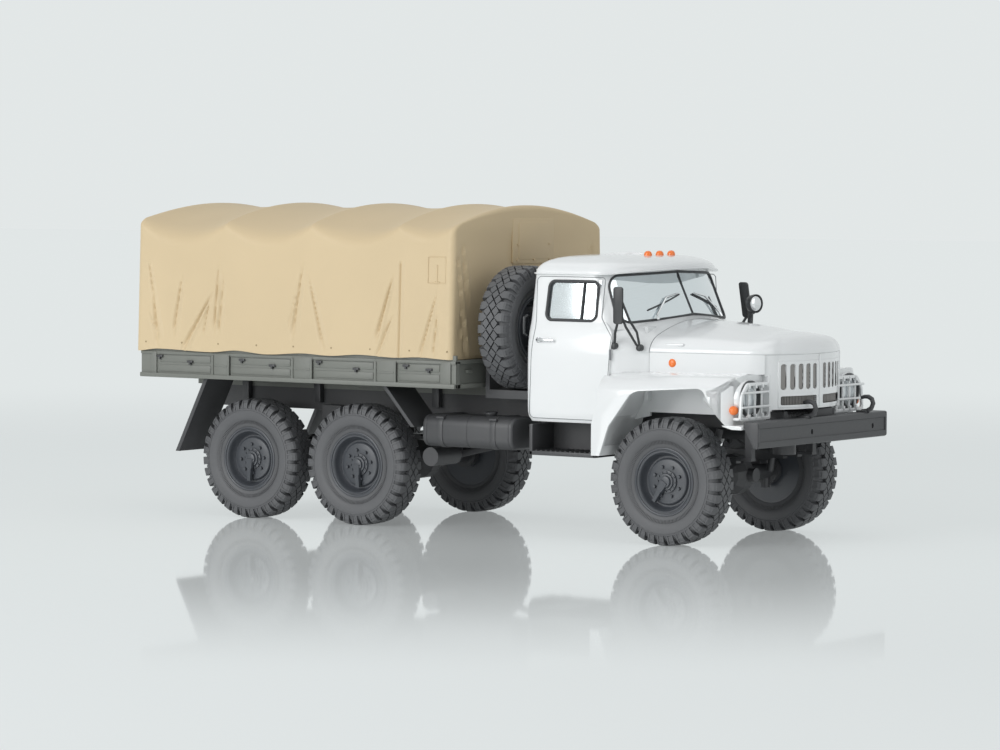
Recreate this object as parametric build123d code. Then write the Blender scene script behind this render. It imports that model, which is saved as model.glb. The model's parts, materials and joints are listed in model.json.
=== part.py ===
from build123d import *
import math
import os

# A 1:43 scale model of a bonneted six-wheel army cargo truck with a tarpaulin.
# Millimetres. +X forward, +Y to the truck's left, +Z up, the floor at Z = 0.
# The model is laid out from the front axle, at X = 0, and is stored from the middle of its length.

# Axles and wheels
WHEELBASE = 77.9
BOGIE_SPACING = 29.1
TRACK = 42.3
TYRE_R = 13.1
TYRE_WIDTH = 7.4
SHOULDER_R = 12.0
SIDEWALL_R = 9.8
SEAT_R = 7.0
TREAD_WIDTH = 5.8
BEAD_WIDTH = 6.0
LUGS = 18
LUG_DEPTH = 0.8
LUG_TIP_DEG = 10.8
LUG_ROOT_DEG = 5.6
PIN_R = 0.90
RUN_CLEAR = 0.04
HUB_R = 2.3
BORE_DEPTH = 5.0

# Frame
RAIL_Y = 9.6
RAIL_WIDTH = 1.4
RAIL_BOTTOM = 23.6
RAIL_TOP = 28.2
FRAME_REAR = -131.0
FRAME_FRONT = 19.9

# Cab
CAB_REAR = -34.2
CAB_HALF = 24.2
CAB_BOTTOM = 24.2
DOOR_FRONT = -13.2
COWL_FRONT = -6.5
COWL_HALF = 19.7
BELT_Z = 45.2
ROOF_Z = 58.7
CAB_WALL = 0.9
CAB_FLOOR = 29.7
TUNNEL_HALF = 13.4
GLASS = 0.5

# Bonnet, wings and nose
NOSE_FRONT = 22.3
NOSE_BACK = 17.0
NOSE_CORNER = 19.8
BONNET_WALL = 0.8
CREASE_Z = 39.3
WING_TOP = 35.1
WING_HALF = 27.0
WING_WALL = 0.8
WING_INNER = 15.2
WING_FACE = 17.2
NOSE_HALF = 12.4
NOSE_BOTTOM = 27.9
LAMP_Y = 18.9
LAMP_Z = 29.7
LAMP_R = 3.0

# Bumper
BUMPER_FRONT = 23.5
BUMPER_DEPTH = 3.5
BUMPER_BOTTOM = 20.8
BUMPER_TOP = 25.2
BUMPER_HALF = 26.5
HOOK_YS = (-4.9, 19.0)
HOOK_FRONT = 25.0

# Cargo bed and tarpaulin
BED_FRONT = -48.8
BED_REAR = -134.1
BED_HALF = 28.6
BED_BOTTOM = 30.45
BED_FLOOR_TOP = 32.8
FLOOR_THICK = 1.0
BOARD = 0.8
BOARD_TOP = 38.2
HEADBOARD_TOP = 36.4
POST_OUT = 0.4
TARP_FRONT = -49.5
TARP_REAR = -135.1
TARP_BOTTOM = 36.5
TARP_HALF_LOW = 29.25
TARP_HALF_TOP = 28.3
TARP_EAVE = 63.6
TARP_RIDGE = 69.0
TARP_WALL = 0.55
TARP_CORNER = 1.0
# Places of the bows that hold the cloth up; it sags between them
TARP_BOWS = (TARP_REAR, -110.5, -87.0, -63.6, TARP_FRONT)

# Spare wheel, between cab and bed
SPARE_X = -40.6
SPARE_Y = -14.9

SEAT_GAP = 0.05

# Worked-out places
MIDDLE_X = -WHEELBASE
REAR_X = -WHEELBASE - BOGIE_SPACING
AXLE_XS = (0.0, MIDDLE_X, REAR_X)
HALF_PITCH = 180.0 / LUGS
AXLE_Z = TYRE_R * math.cos(math.radians(HALF_PITCH - LUG_TIP_DEG / 2))
WHEEL_Y = TRACK / 2
RAIL_OUT = RAIL_Y + RAIL_WIDTH / 2
RAIL_IN = RAIL_Y - RAIL_WIDTH / 2
SPARE_Z = BED_BOTTOM + TYRE_R - 0.4
MODEL_REAR = TARP_REAR - 0.9
X_MIDDLE = (HOOK_FRONT + MODEL_REAR) / 2


def block(x0, x1, y0, y1, z0, z1):
    return Pos((x0 + x1) / 2, (y0 + y1) / 2, (z0 + z1) / 2) * Box(x1 - x0, y1 - y0, z1 - z0)


def outline(points, radii):
    """Closed face from corner points, with one radius for all corners or one for each."""
    if isinstance(radii, (int, float)) and radii == 0:
        return make_face(Polyline(*points, close=True))
    return make_face(FilletPolyline(*points, radius=radii, close=True))


def side_prism(points, y0, y1, radii=0):
    """Prism across the truck from an outline of (x, z) corners."""
    plane = Plane((0, y1, 0), x_dir=(1, 0, 0), z_dir=(0, -1, 0))
    return extrude(plane * outline(points, radii), y1 - y0)


def front_prism(points, x0, x1, radii=0):
    """Prism along the truck from an outline of (y, z) corners."""
    plane = Plane((x0, 0, 0), x_dir=(0, 1, 0), z_dir=(1, 0, 0))
    return extrude(plane * outline(points, radii), x1 - x0)


def plan_prism(points, z0, z1, radii=0):
    """Upright prism from an outline of (x, y) corners."""
    return extrude(Pos(0, 0, z0) * outline(points, radii), z1 - z0)


def rod(start, end, r):
    """Round rod between two points."""
    run = Vector(*end) - Vector(*start)
    standing = Cylinder(r, run.length, align=(Align.CENTER, Align.CENTER, Align.MIN))
    return Plane(Vector(*start), z_dir=run) * standing


def rods(points, r):
    """Bent round bar: a rod along each run, with a ball at each bend."""
    bar = rod(points[0], points[1], r)
    for start, end in zip(points[1:], points[2:]):
        bar += rod(start, end, r) + Pos(*start) * Sphere(r)
    return bar


def flip(shape):
    """The same shape on the truck's other side."""
    return shape.mirror(Plane.XZ)


def both(shape):
    return [shape, flip(shape)]


def ring_solid(rows, sides, closed=False):
    """Flat-sided solid about the Y axis from rows of (y, radius); closed where they go round a hollow ring."""
    turns = [math.radians(360.0 / sides * side - 90) for side in range(sides)]
    rings = [[(r * math.cos(a), y, r * math.sin(a)) for a in turns] for y, r in rows]
    faces = []
    for low, high in zip(rings, rings[1:] + rings[:1] if closed else rings[1:]):
        for side in range(sides):
            after = (side + 1) % sides
            faces.append(Face(Wire.make_polygon([low[side], low[after], high[after], high[side]])))
    if not closed:
        faces += [Face(Wire.make_polygon(rings[0])), Face(Wire.make_polygon(rings[-1]))]
    return Solid(Shell(faces))


# How far in the toothed rings reach into the carcass, as a share of their radius
ROOT_SINK = 0.88


def lug_row(y0, y1, turn):
    """One shoulder's row of tread lugs, as a toothed ring."""
    points = []
    for lug in range(LUGS):
        middle = 360.0 / LUGS * lug + turn
        for angle, r in (
            (-HALF_PITCH + LUG_ROOT_DEG / 2, TYRE_R - LUG_DEPTH),
            (-LUG_TIP_DEG / 2, TYRE_R),
            (LUG_TIP_DEG / 2, TYRE_R),
            (HALF_PITCH - LUG_ROOT_DEG / 2, TYRE_R - LUG_DEPTH),
        ):
            a = math.radians(middle + angle - 90)
            points.append((r * math.cos(a), r * math.sin(a)))
    inside = [(ROOT_SINK * x, ROOT_SINK * z) for x, z in points]
    return side_prism(points, y0, y1) - side_prism(inside, y0, y1)


def tyre():
    """Tyre about the Y axis, its outer side towards +Y."""
    tread = TREAD_WIDTH / 2
    bulge = TYRE_WIDTH / 2
    bead = BEAD_WIDTH / 2
    carcass = [
        (-tread, SHOULDER_R), (-bulge, SIDEWALL_R), (-bead, SEAT_R),
        (bead, SEAT_R), (bulge, SIDEWALL_R), (tread, SHOULDER_R),
    ]
    return ring_solid(carcass, LUGS, True) + lug_row(-tread, 0, 0) + lug_row(0, tread, HALF_PITCH)


# Wheel disc: rim lip, dish, web and hub, as (y, radius) from the middle of the wheel
LIP_Y = 2.9
LIP_R = 6.3
DISH_Y = 0.9
DISH_R = 5.2
WEB = 1.2
BACK_R = 5.6
HUB_STEP_Y = 1.6
HUB_OUT = 2.9
HUB_NOSE_R = 1.3


def disc():
    """Wheel disc about the Y axis, its outer side towards +Y."""
    web_back = DISH_Y - WEB
    body = ring_solid([
        (-LIP_Y, HUB_R), (web_back, HUB_R), (web_back, BACK_R), (-LIP_Y, LIP_R), (-LIP_Y, SEAT_R),
        (LIP_Y, SEAT_R), (LIP_Y, LIP_R), (DISH_Y, DISH_R), (DISH_Y, HUB_R), (HUB_STEP_Y, HUB_R),
        (HUB_STEP_Y, HUB_NOSE_R + 0.3), (HUB_OUT, HUB_NOSE_R),
    ], LUGS)
    return body - rod((0, -LIP_Y, 0), (0, -LIP_Y + BORE_DEPTH, 0), PIN_R + RUN_CLEAR)


def on_axle(shape, axle_x, side):
    turned = shape if side > 0 else flip(shape)
    return Pos(axle_x, side * WHEEL_Y, AXLE_Z) * turned


def on_spare(shape):
    """The spare stands across the truck with its outer side to the cab."""
    return Pos(SPARE_X, SPARE_Y, SPARE_Z) * (Rot(0, 0, -90) * shape)


def axle_pins():
    """One steel pin through each axle, its ends in the wheels' bores."""
    reach = WHEEL_Y - LIP_Y + BORE_DEPTH - 0.3
    return [rod((x, -reach, AXLE_Z), (x, reach, AXLE_Z), PIN_R) for x in AXLE_XS]


# Axle housings: half length, tube radius, final-drive ball radius and its place
HOUSING_HALF = WHEEL_Y - LIP_Y - 0.4
TUBE_R = 1.7
BALL_R = 4.3
BALL_LENGTH = 5.6
BALL_SIDES = 14
KNUCKLE_R = 2.9
KNUCKLE_WIDTH = 1.6


def axle_housing(axle_x, ball_y, steered):
    """Axle tube with its final-drive ball and end flanges, bored for the pin."""
    body = rod((axle_x, -HOUSING_HALF, AXLE_Z), (axle_x, HOUSING_HALF, AXLE_Z), TUBE_R)
    ball = [
        (-BALL_R, TUBE_R), (-0.75 * BALL_R, 0.75 * BALL_R), (-0.3 * BALL_R, BALL_R),
        (0.3 * BALL_R, BALL_R), (0.75 * BALL_R, 0.75 * BALL_R), (BALL_R, TUBE_R),
    ]
    body += Pos(axle_x, ball_y, AXLE_Z) * ring_solid(ball, BALL_SIDES)
    body += rod((axle_x - BALL_LENGTH, ball_y, AXLE_Z), (axle_x + BALL_LENGTH, ball_y, AXLE_Z), 1.5)
    for side in (1, -1):
        end = side * HOUSING_HALF
        inner = side * (HOUSING_HALF - KNUCKLE_WIDTH)
        body += rod((axle_x, inner, AXLE_Z), (axle_x, end, AXLE_Z), KNUCKLE_R)
        if steered:
            body += rod((axle_x, inner, AXLE_Z - 3.6), (axle_x, inner, AXLE_Z + 3.6), 0.9)
    if steered:
        arm_y = HOUSING_HALF - KNUCKLE_WIDTH
        rod_x, rod_z = axle_x - 3.4, AXLE_Z - 1.6
        body += rod((rod_x, -arm_y, rod_z), (rod_x, arm_y, rod_z), 0.55)
        for side in (1, -1):
            body += rod((rod_x, side * arm_y, rod_z), (axle_x, side * arm_y, rod_z), 0.6)
    reach = HOUSING_HALF + 1
    return body - rod((axle_x, -reach, AXLE_Z), (axle_x, reach, AXLE_Z), PIN_R)


# Leaf springs: y of each spring, half length, clamp height over the axle tube
SPRING_Y = 12.4
SPRING_WIDTH = 1.8
LEAF = 0.55


def leaf_spring(axle_x, half, top_z, leaves, gap_below):
    """Stack of leaves with its clamp, from the axle tube up to the frame."""
    base = AXLE_Z + TUBE_R
    body = block(axle_x - 1.6, axle_x + 1.6, SPRING_Y - 1.2, SPRING_Y + 1.2, base, base + gap_below)
    for leaf in range(leaves):
        reach = half * (leaf + 1) / leaves
        low = base + gap_below + leaf * LEAF
        body += block(axle_x - reach, axle_x + reach, SPRING_Y - SPRING_WIDTH / 2,
                      SPRING_Y + SPRING_WIDTH / 2, low, low + LEAF)
    top = base + gap_below + leaves * LEAF
    for side in (1, -1):
        eye = axle_x + side * (half - 0.8)
        body += block(eye - 0.8, eye + 0.8, SPRING_Y - 0.7, SPRING_Y + 0.7, top, top_z)
        body += block(eye - 0.8, eye + 0.8, RAIL_OUT, SPRING_Y - 0.7, top_z - 1.6, top_z)
    return body


def bogie_springs():
    """Rear springs: a stack that rests on both bogie axles and turns on a trunnion."""
    middle = (MIDDLE_X + REAR_X) / 2
    base = AXLE_Z + TUBE_R
    half = BOGIE_SPACING / 2
    body = block(middle - half - 1.6, middle + half + 1.6, SPRING_Y - 0.9, SPRING_Y + 0.9, base, base + 1.1)
    for leaf in range(3):
        reach = half * (0.85 - 0.22 * leaf)
        low = base + 1.1 + leaf * LEAF
        body += block(middle - reach, middle + reach, SPRING_Y - 0.9, SPRING_Y + 0.9, low, low + LEAF)
    stack_top, saddle_top = base + 1.1 + 3 * LEAF, RAIL_BOTTOM + 1.2
    body += block(middle - 2.6, middle + 2.6, SPRING_Y - 1.2, SPRING_Y + 1.2, stack_top, saddle_top)
    body += block(middle - 2.6, middle + 2.6, RAIL_OUT, SPRING_Y - 1.2, RAIL_BOTTOM, saddle_top)
    return body


def rail(side):
    """Frame rail with a channel section open to the inside, necked down at the front."""
    points = [
        (FRAME_REAR, RAIL_BOTTOM), (FRAME_FRONT, RAIL_BOTTOM), (FRAME_FRONT, RAIL_TOP - 0.8),
        (CAB_REAR + 6, RAIL_TOP), (FRAME_REAR, RAIL_TOP),
    ]
    body = side_prism(points, RAIL_IN, RAIL_OUT)
    channel_low, channel_high = RAIL_BOTTOM + 0.7, RAIL_TOP - 1.5
    body -= block(FRAME_REAR + 2, FRAME_FRONT - 2, RAIL_IN, RAIL_OUT - 0.6, channel_low, channel_high)
    return body if side > 0 else flip(body)


# Crossmembers: x, and half length along the frame
CROSSMEMBERS = (
    (14.0, 0.9), (-29.0, 0.9), (-47.0, 0.9), (-62.0, 0.9), (-92.45, 1.6), (-122.0, 0.9), (-129.6, 1.4),
)
# Bosses for the screws of a display base, under the first and the last but one
BOSS_XS = (14.0, -122.0)
BOSS_R = 2.4
SCREW_R = 1.0
SCREW_DEPTH = 5.0
BOSS_BOTTOM = 18.0


def crossmembers():
    """Bars between the rails, two of them with a boss that has a blind screw hole."""
    bars = []
    for x, half in CROSSMEMBERS:
        bar = block(x - half, x + half, -RAIL_IN, RAIL_IN, RAIL_BOTTOM + 0.7, RAIL_TOP - 1.5)
        if x in BOSS_XS:
            bar += rod((x, 0, BOSS_BOTTOM), (x, 0, RAIL_BOTTOM + 0.7), BOSS_R)
            bar -= rod((x, 0, BOSS_BOTTOM), (x, 0, BOSS_BOTTOM + SCREW_DEPTH), SCREW_R)
        bars.append(bar)
    return bars


def cab_section(rear, corner, front, half_rear, half_front, z, inset):
    """Plan section of the cab's upper part, with a curved windscreen line."""
    rear_x = rear + inset
    corner_x = corner - inset
    rear_y = half_rear - inset
    front_y = half_front - inset
    edge = Polyline((corner_x, front_y), (rear_x, rear_y), (rear_x, -rear_y), (corner_x, -front_y))
    screen = ThreePointArc((corner_x, -front_y), (front - inset, 0), (corner_x, front_y))
    return Pos(0, 0, z) * make_face(edge + screen)


# Upper cab sections: rear x, corner x, centre front x, half width at rear, at front, height
UPPER_SECTIONS = (
    (-34.2, -14.2, -7.6, 22.9, 22.3, BELT_Z),
    (-34.0, -17.6, -12.3, 21.4, 20.9, 55.2),
    (-33.9, -17.0, -11.4, 21.3, 21.1, 55.9),
    (-33.3, -17.6, -12.2, 20.2, 20.0, 57.3),
    (-31.5, -19.6, -15.0, 17.0, 17.0, ROOF_Z - 0.25),
    (-28.5, -22.5, -19.0, 12.0, 12.0, ROOF_Z),
)


def cab_upper(inset):
    sections = []
    for rear, corner, front, half_rear, half_front, z in UPPER_SECTIONS:
        low = z if z == BELT_Z else z - inset
        sections.append(cab_section(rear, corner, front, half_rear, half_front, low, inset))
    return loft(sections, ruled=True)


# Lower cab sections: height, half width at the doors
LOWER_SECTIONS = ((CAB_BOTTOM, 23.5), (26.5, CAB_HALF), (41.0, CAB_HALF), (BELT_Z, 22.9))


def lower_section(z, half, inset):
    cowl = COWL_HALF - inset + (half - CAB_HALF) * 0.6
    rear, door, front = CAB_REAR + inset, DOOR_FRONT - inset * 0.6, COWL_FRONT - inset
    points = [
        (rear, half - inset), (door, half - inset), (front, cowl),
        (front, -cowl), (door, inset - half), (rear, inset - half),
    ]
    return Pos(0, 0, z) * make_face(Polyline(*points, close=True))


def cab_lower(inset):
    return loft([lower_section(z, half, inset) for z, half in LOWER_SECTIONS], ruled=True)


# Side window as (x, z) corners
SIDE_PANE = ((-29.9, 45.3), (-17.5, 45.3), (-17.6, 53.2), (-29.6, 53.2))
# Windscreen halves and rear window as (y, z) corners
SCREEN_PANE = ((0.3, 47.2), (20.4, 46.6), (19.3, 54.4), (0.3, 54.7))
REAR_PANE = ((-9.0, 47.0), (9.0, 47.0), (9.0, 53.0), (-9.0, 53.0))
# Lower front of the door and the open space ahead of it for the wheel, as (x, z) corners
UNDER_FLOOR = CAB_FLOOR - CAB_WALL
TOE_CUT = ((-15.6, CAB_BOTTOM - 1), (-15.6, CAB_BOTTOM), (DOOR_FRONT - 0.1, UNDER_FLOOR - 0.2),
           (COWL_FRONT + 1, UNDER_FLOOR - 0.2), (COWL_FRONT + 1, CAB_BOTTOM - 1))


def cab_openings():
    """Cutters for all windows."""
    cutters = []
    for side in (1, -1):
        low, high = sorted((side * (CAB_HALF + 1), side * 15))
        cutters.append(side_prism(SIDE_PANE, low, high, 1.1))
    for side in (1, -1):
        points = [(side * y, z) for y, z in SCREEN_PANE]
        cutters.append(front_prism(points, -24, 0, 0.5))
    cutters.append(front_prism(REAR_PANE, CAB_REAR - 1, CAB_REAR + 3, 1.0))
    return cutters


def cab_shell():
    """Hollow cab with floor, firewall and roof in one casting, its windows cut through."""
    floor = lower_section(UNDER_FLOOR, CAB_HALF, CAB_WALL / 2)
    body = cab_lower(0) + cab_upper(0)
    body -= cab_lower(CAB_WALL) + cab_upper(CAB_WALL)
    body += extrude(floor, CAB_WALL)
    body -= side_prism(TOE_CUT, -CAB_HALF - 1, CAB_HALF + 1)
    body -= block(CAB_REAR - 1, COWL_FRONT + 1, -TUNNEL_HALF, TUNNEL_HALF, CAB_BOTTOM - 1, UNDER_FLOOR)
    for cutter in cab_openings():
        body -= cutter
    return body


def cab_glass():
    """Clear panes lying in the window openings."""
    shell = cab_upper(0.2) - cab_upper(0.2 + GLASS)
    panes = []
    for cutter in cab_openings():
        panes += (shell & cutter).solids()
    return panes


def between(rows, x, column):
    """Value of one column at x, on straight runs between rows of rising x."""
    for low, high in zip(rows, rows[1:]):
        if x <= high[0]:
            share = (x - low[0]) / (high[0] - low[0])
            return low[column] + share * (high[column] - low[column])
    return rows[-1][column]


def bonnet_section(x, half, crease_z, top_z, inset):
    side = half - inset
    shoulder_y = half - 2.3 - inset
    shoulder_z = crease_z + 2.5 - inset
    floor = WING_TOP
    roll_y, roll_z = side - 0.55, crease_z + 1.5 - inset * 0.6
    line = Polyline((-side, crease_z), (-side, floor), (side, floor), (side, crease_z))
    right = ThreePointArc((side, crease_z), (roll_y, roll_z), (shoulder_y, shoulder_z))
    crown = ThreePointArc((shoulder_y, shoulder_z), (0, top_z - inset), (-shoulder_y, shoulder_z))
    left = ThreePointArc((-shoulder_y, shoulder_z), (-roll_y, roll_z), (-side, crease_z))
    plane = Plane((x, 0, 0), x_dir=(0, 1, 0), z_dir=(1, 0, 0))
    return plane * make_face(line + right + crown + left)


# Bonnet sections: x, half width, crease height, crown height
BONNET_SECTIONS = (
    (COWL_FRONT, COWL_HALF, CREASE_Z, 45.3),
    (6.0, 18.2, CREASE_Z, 44.6),
    (14.0, 16.9, CREASE_Z, 43.9),
    (NOSE_FRONT + 1, 16.2, CREASE_Z, 43.0),
)
# How far the front end's plan draws in towards its top, as (height, inset)
FRONT_LEVELS = ((NOSE_BOTTOM, 0.0), (CREASE_Z, 0.0), (41.5, 0.3), (42.6, 0.9), (43.2, 2.0), (46.0, 6.0))
FRONT_SIDE_X = 15.5
FRONT_SIDE_Y = 16.6


def bonnet_form(inset):
    return loft([bonnet_section(*row, inset) for row in BONNET_SECTIONS], ruled=True)


def front_plan(z, inset):
    """Plan of the front end at a height: straight sides, round corners and a bowed front."""
    side_x, side_y = FRONT_SIDE_X - inset, FRONT_SIDE_Y - inset
    corner_x, corner_y = NOSE_CORNER - inset, NOSE_HALF - inset * 0.4
    round_x, round_y = 18.6 - inset, 15.1 - inset * 0.7
    back_x, back_y = COWL_FRONT - 1.5, 22.0 - inset
    edge = Polyline((side_x, side_y), (back_x, back_y), (back_x, -back_y), (side_x, -side_y))
    right = ThreePointArc((side_x, -side_y), (round_x, -round_y), (corner_x, -corner_y))
    front = ThreePointArc((corner_x, -corner_y), (NOSE_FRONT - inset, 0), (corner_x, corner_y))
    left = ThreePointArc((corner_x, corner_y), (round_x, round_y), (side_x, side_y))
    return Pos(0, 0, z) * make_face(edge + right + front + left)


def front_form(inset):
    """Solid whose front is the truck's front end, rounded back to the bonnet's top."""
    return loft([front_plan(z, drawn + inset) for z, drawn in FRONT_LEVELS], ruled=True)


def bonnet():
    """Hollow bonnet that reaches to the front, open below, and cut away below its crease for the nose."""
    body = (bonnet_form(0) & front_form(0)) - (bonnet_form(BONNET_WALL) & front_form(BONNET_WALL))
    return body - block(NOSE_BACK, NOSE_FRONT + 2, -COWL_HALF, COWL_HALF, WING_TOP - 1, CREASE_Z)


# Grille: slots each side of the middle bar, and one low opening under them
SLOTS_EACH_SIDE = 5
SLOT_FIRST_Y = 1.95
SLOT_PITCH = 2.26
SLOT_WIDTH = 1.5
SLOT_BOTTOM = 31.9
SLOT_TOP = 37.1
LOW_SLOT_BOTTOM = 28.8
LOW_SLOT_TOP = 30.6
MASK_INSET = 0.35
NOSE_WALL = 1.0
FRAME_GAP = 0.35
FRAME_TOP = 37.7


def nose():
    """Bowed front mask with a raised, slotted grille frame each side of its middle."""
    tall = CREASE_Z - NOSE_BOTTOM
    inner = MASK_INSET + NOSE_WALL
    body = extrude(front_plan(NOSE_BOTTOM, MASK_INSET), tall)
    frame = extrude(front_plan(NOSE_BOTTOM, 0), FRAME_TOP - NOSE_BOTTOM)
    for side in (1, -1):
        low, high = sorted((side * FRAME_GAP, side * NOSE_HALF))
        body += frame & block(NOSE_BACK, NOSE_FRONT + 1, low, high, NOSE_BOTTOM + 0.4, FRAME_TOP)
    body -= extrude(front_plan(NOSE_BOTTOM, inner), tall)
    body -= block(COWL_FRONT - 3, NOSE_BACK, -CAB_HALF, CAB_HALF, NOSE_BOTTOM - 1, CREASE_Z + 1)
    last_slot = SLOT_FIRST_Y + (SLOTS_EACH_SIDE - 1) * SLOT_PITCH + SLOT_WIDTH / 2
    for side in (1, -1):
        low, high = sorted((side * (NOSE_HALF + SEAT_GAP), side * CAB_HALF))
        body -= block(NOSE_BACK - 1, NOSE_FRONT, low, high, NOSE_BOTTOM - 1, WING_TOP + SEAT_GAP)
        for slot in range(SLOTS_EACH_SIDE):
            y = side * (SLOT_FIRST_Y + slot * SLOT_PITCH)
            y0, y1 = y - SLOT_WIDTH / 2, y + SLOT_WIDTH / 2
            body -= block(NOSE_BACK, NOSE_FRONT + 1, y0, y1, SLOT_BOTTOM, SLOT_TOP)
        low, high = sorted((side * (SLOT_FIRST_Y - SLOT_WIDTH / 2), side * last_slot))
        body -= block(NOSE_BACK, NOSE_FRONT + 1, low, high, LOW_SLOT_BOTTOM, LOW_SLOT_TOP)
    return body


RADIATOR_BACK = 14.2
RADIATOR_FRONT = 16.9


def radiator():
    return block(RADIATOR_BACK, RADIATOR_FRONT, -12.2, 12.2, RAIL_TOP + 0.1, 38.2)


# Wing outlines as (x, z): outer skin, and the hollow inside it
LIP_FRONT = 19.9
WING_OUTER = (
    (-15.9, 17.9), (-13.9, 17.9), (-11.8, 24.0), (-6.1, 30.9), (10.3, 31.9), (13.5, 27.0), (15.2, 25.1),
    (17.6, 24.5), (LIP_FRONT, 24.5), (LIP_FRONT, 25.2), (WING_FACE, 25.9), (WING_FACE, 33.6), (15.0, WING_TOP),
    (DOOR_FRONT + 0.1, WING_TOP), (DOOR_FRONT + 0.1, UNDER_FLOOR - 0.1), (-15.4, CAB_BOTTOM + 0.2),
)
WING_HOLLOW = (
    (-12.8, 17.0), (-11.0, 24.4), (DOOR_FRONT + 0.9, 36.0), (15.2, 36.0), (WING_FACE - WING_WALL, 33.0),
    (WING_FACE - WING_WALL, 24.0), (15.0, 17.0),
)


def wing_top(drop):
    """Cutter over the wing's top, which falls away to the outside."""
    top, outside = WING_TOP - drop, WING_HALF + 1
    points = [(0, top), (20.5, top), (outside, 33.0 - drop), (outside, 45), (0, 45)]
    return front_prism(points, -20, 20)


def wing(side):
    """Front wing: a skin with a flanged arch, a front face for the lamp and a rear apron."""
    gap = SEAT_GAP
    body = side_prism(WING_OUTER, WING_INNER, WING_HALF)
    body += block(WING_FACE - WING_WALL, WING_FACE, NOSE_HALF + gap, WING_INNER, 25.5, 33.6)
    hollow = side_prism(WING_HOLLOW, WING_INNER - 1, WING_HALF - WING_WALL) - wing_top(WING_WALL)
    body -= hollow
    body -= wing_top(0)
    cowl = [(DOOR_FRONT - 4, 0), (DOOR_FRONT - 4, CAB_HALF + gap), (DOOR_FRONT + gap, CAB_HALF + gap),
            (COWL_FRONT + gap, COWL_HALF + gap), (COWL_FRONT + gap, 0)]
    body -= plan_prism(cowl, UNDER_FLOOR - 0.25, BELT_Z)
    body -= rod((15, LAMP_Y, LAMP_Z), (19, LAMP_Y, LAMP_Z), LAMP_R + gap)
    return body if side > 0 else flip(body)


def build_wheels(parts):
    wheel_tyre = tyre()
    wheel_disc = disc()
    for name, axle_x in (("front", 0.0), ("middle", MIDDLE_X), ("rear", REAR_X)):
        for side_name, side in (("left", 1), ("right", -1)):
            parts["tyre_" + name + "_" + side_name] = [on_axle(wheel_tyre, axle_x, side)]
            parts["disc_" + name + "_" + side_name] = [on_axle(wheel_disc, axle_x, side)]
    parts["spare_tyre"] = [on_spare(wheel_tyre)]
    parts["spare_disc"] = [on_spare(wheel_disc)]


def spare_carrier():
    """Stand behind the cab: a tray on the frame, a back post and the bolt in the spare's bore."""
    tray_z = SPARE_Z - AXLE_Z - SEAT_GAP
    back = SPARE_X - 7.2
    body = block(back, SPARE_X + 4.2, SPARE_Y - 4.0, RAIL_OUT, RAIL_TOP + SEAT_GAP, tray_z)
    body += block(back, back + 1.0, SPARE_Y - 4.0, SPARE_Y + 4.0, tray_z, SPARE_Z + 4.0)
    body += rod((back, SPARE_Y, SPARE_Z), (SPARE_X - LIP_Y + BORE_DEPTH - 0.3, SPARE_Y, SPARE_Z), PIN_R)
    return body


# Bumper's section as (x, z): top flange, folded face and the raked rear edge of its end plates
BUMPER_SECTION = (
    (BUMPER_FRONT - BUMPER_DEPTH, BUMPER_TOP - 0.7), (BUMPER_FRONT - BUMPER_DEPTH, BUMPER_TOP),
    (BUMPER_FRONT - 0.4, BUMPER_TOP), (BUMPER_FRONT, BUMPER_TOP - 0.5), (BUMPER_FRONT, BUMPER_BOTTOM + 0.5),
    (BUMPER_FRONT - 0.4, BUMPER_BOTTOM), (BUMPER_FRONT - 1.0, BUMPER_BOTTOM),
)


def bumper():
    """Channel bumper, open to the rear between its raked end plates, on two brackets from the frame."""
    back, inner = BUMPER_FRONT - BUMPER_DEPTH, BUMPER_HALF - 1
    body = side_prism(BUMPER_SECTION, -BUMPER_HALF, BUMPER_HALF)
    body -= block(back - 1, BUMPER_FRONT - 0.8, -inner, inner, BUMPER_BOTTOM - 1, BUMPER_TOP - 0.7)
    for side in (1, -1):
        low, high = sorted((side * RAIL_IN, side * RAIL_OUT))
        body += block(FRAME_FRONT, BUMPER_FRONT - 0.8, low, high, BUMPER_BOTTOM + 2, BUMPER_TOP - 0.7)
    return body


# Tow hook as (x, z): foot on the bumper, then a bend to the rear
HOOK_OUTLINE = (
    (21.4, BUMPER_TOP), (23.1, BUMPER_TOP), (24.2, 26.0), (24.9, 26.8), (HOOK_FRONT, 28.1), (24.5, 29.0),
    (23.6, 29.4), (22.8, 29.1), (22.9, 28.5), (23.5, 28.4), (23.9, 27.9), (23.8, 27.2), (22.6, 26.3),
)


def tow_hooks():
    """Curved hooks standing on the bumper."""
    return [side_prism(HOOK_OUTLINE, y - 0.55, y + 0.55) for y in HOOK_YS]


WINCH_X = 17.6
WINCH_Z = 26.0


def winch():
    """Winch drum between the rails, with its cheeks, behind the bumper's top edge."""
    body = rod((WINCH_X, -7.4, WINCH_Z), (WINCH_X, 7.4, WINCH_Z), 1.2)
    for side in (1, -1):
        body += rod((WINCH_X, side * 7.4, WINCH_Z), (WINCH_X, side * RAIL_IN, WINCH_Z), 1.8)
    return body


def headlights():
    lamp = rod((15.4, LAMP_Y, LAMP_Z), (WING_FACE + 0.4, LAMP_Y, LAMP_Z), LAMP_R)
    return both(lamp)


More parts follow.
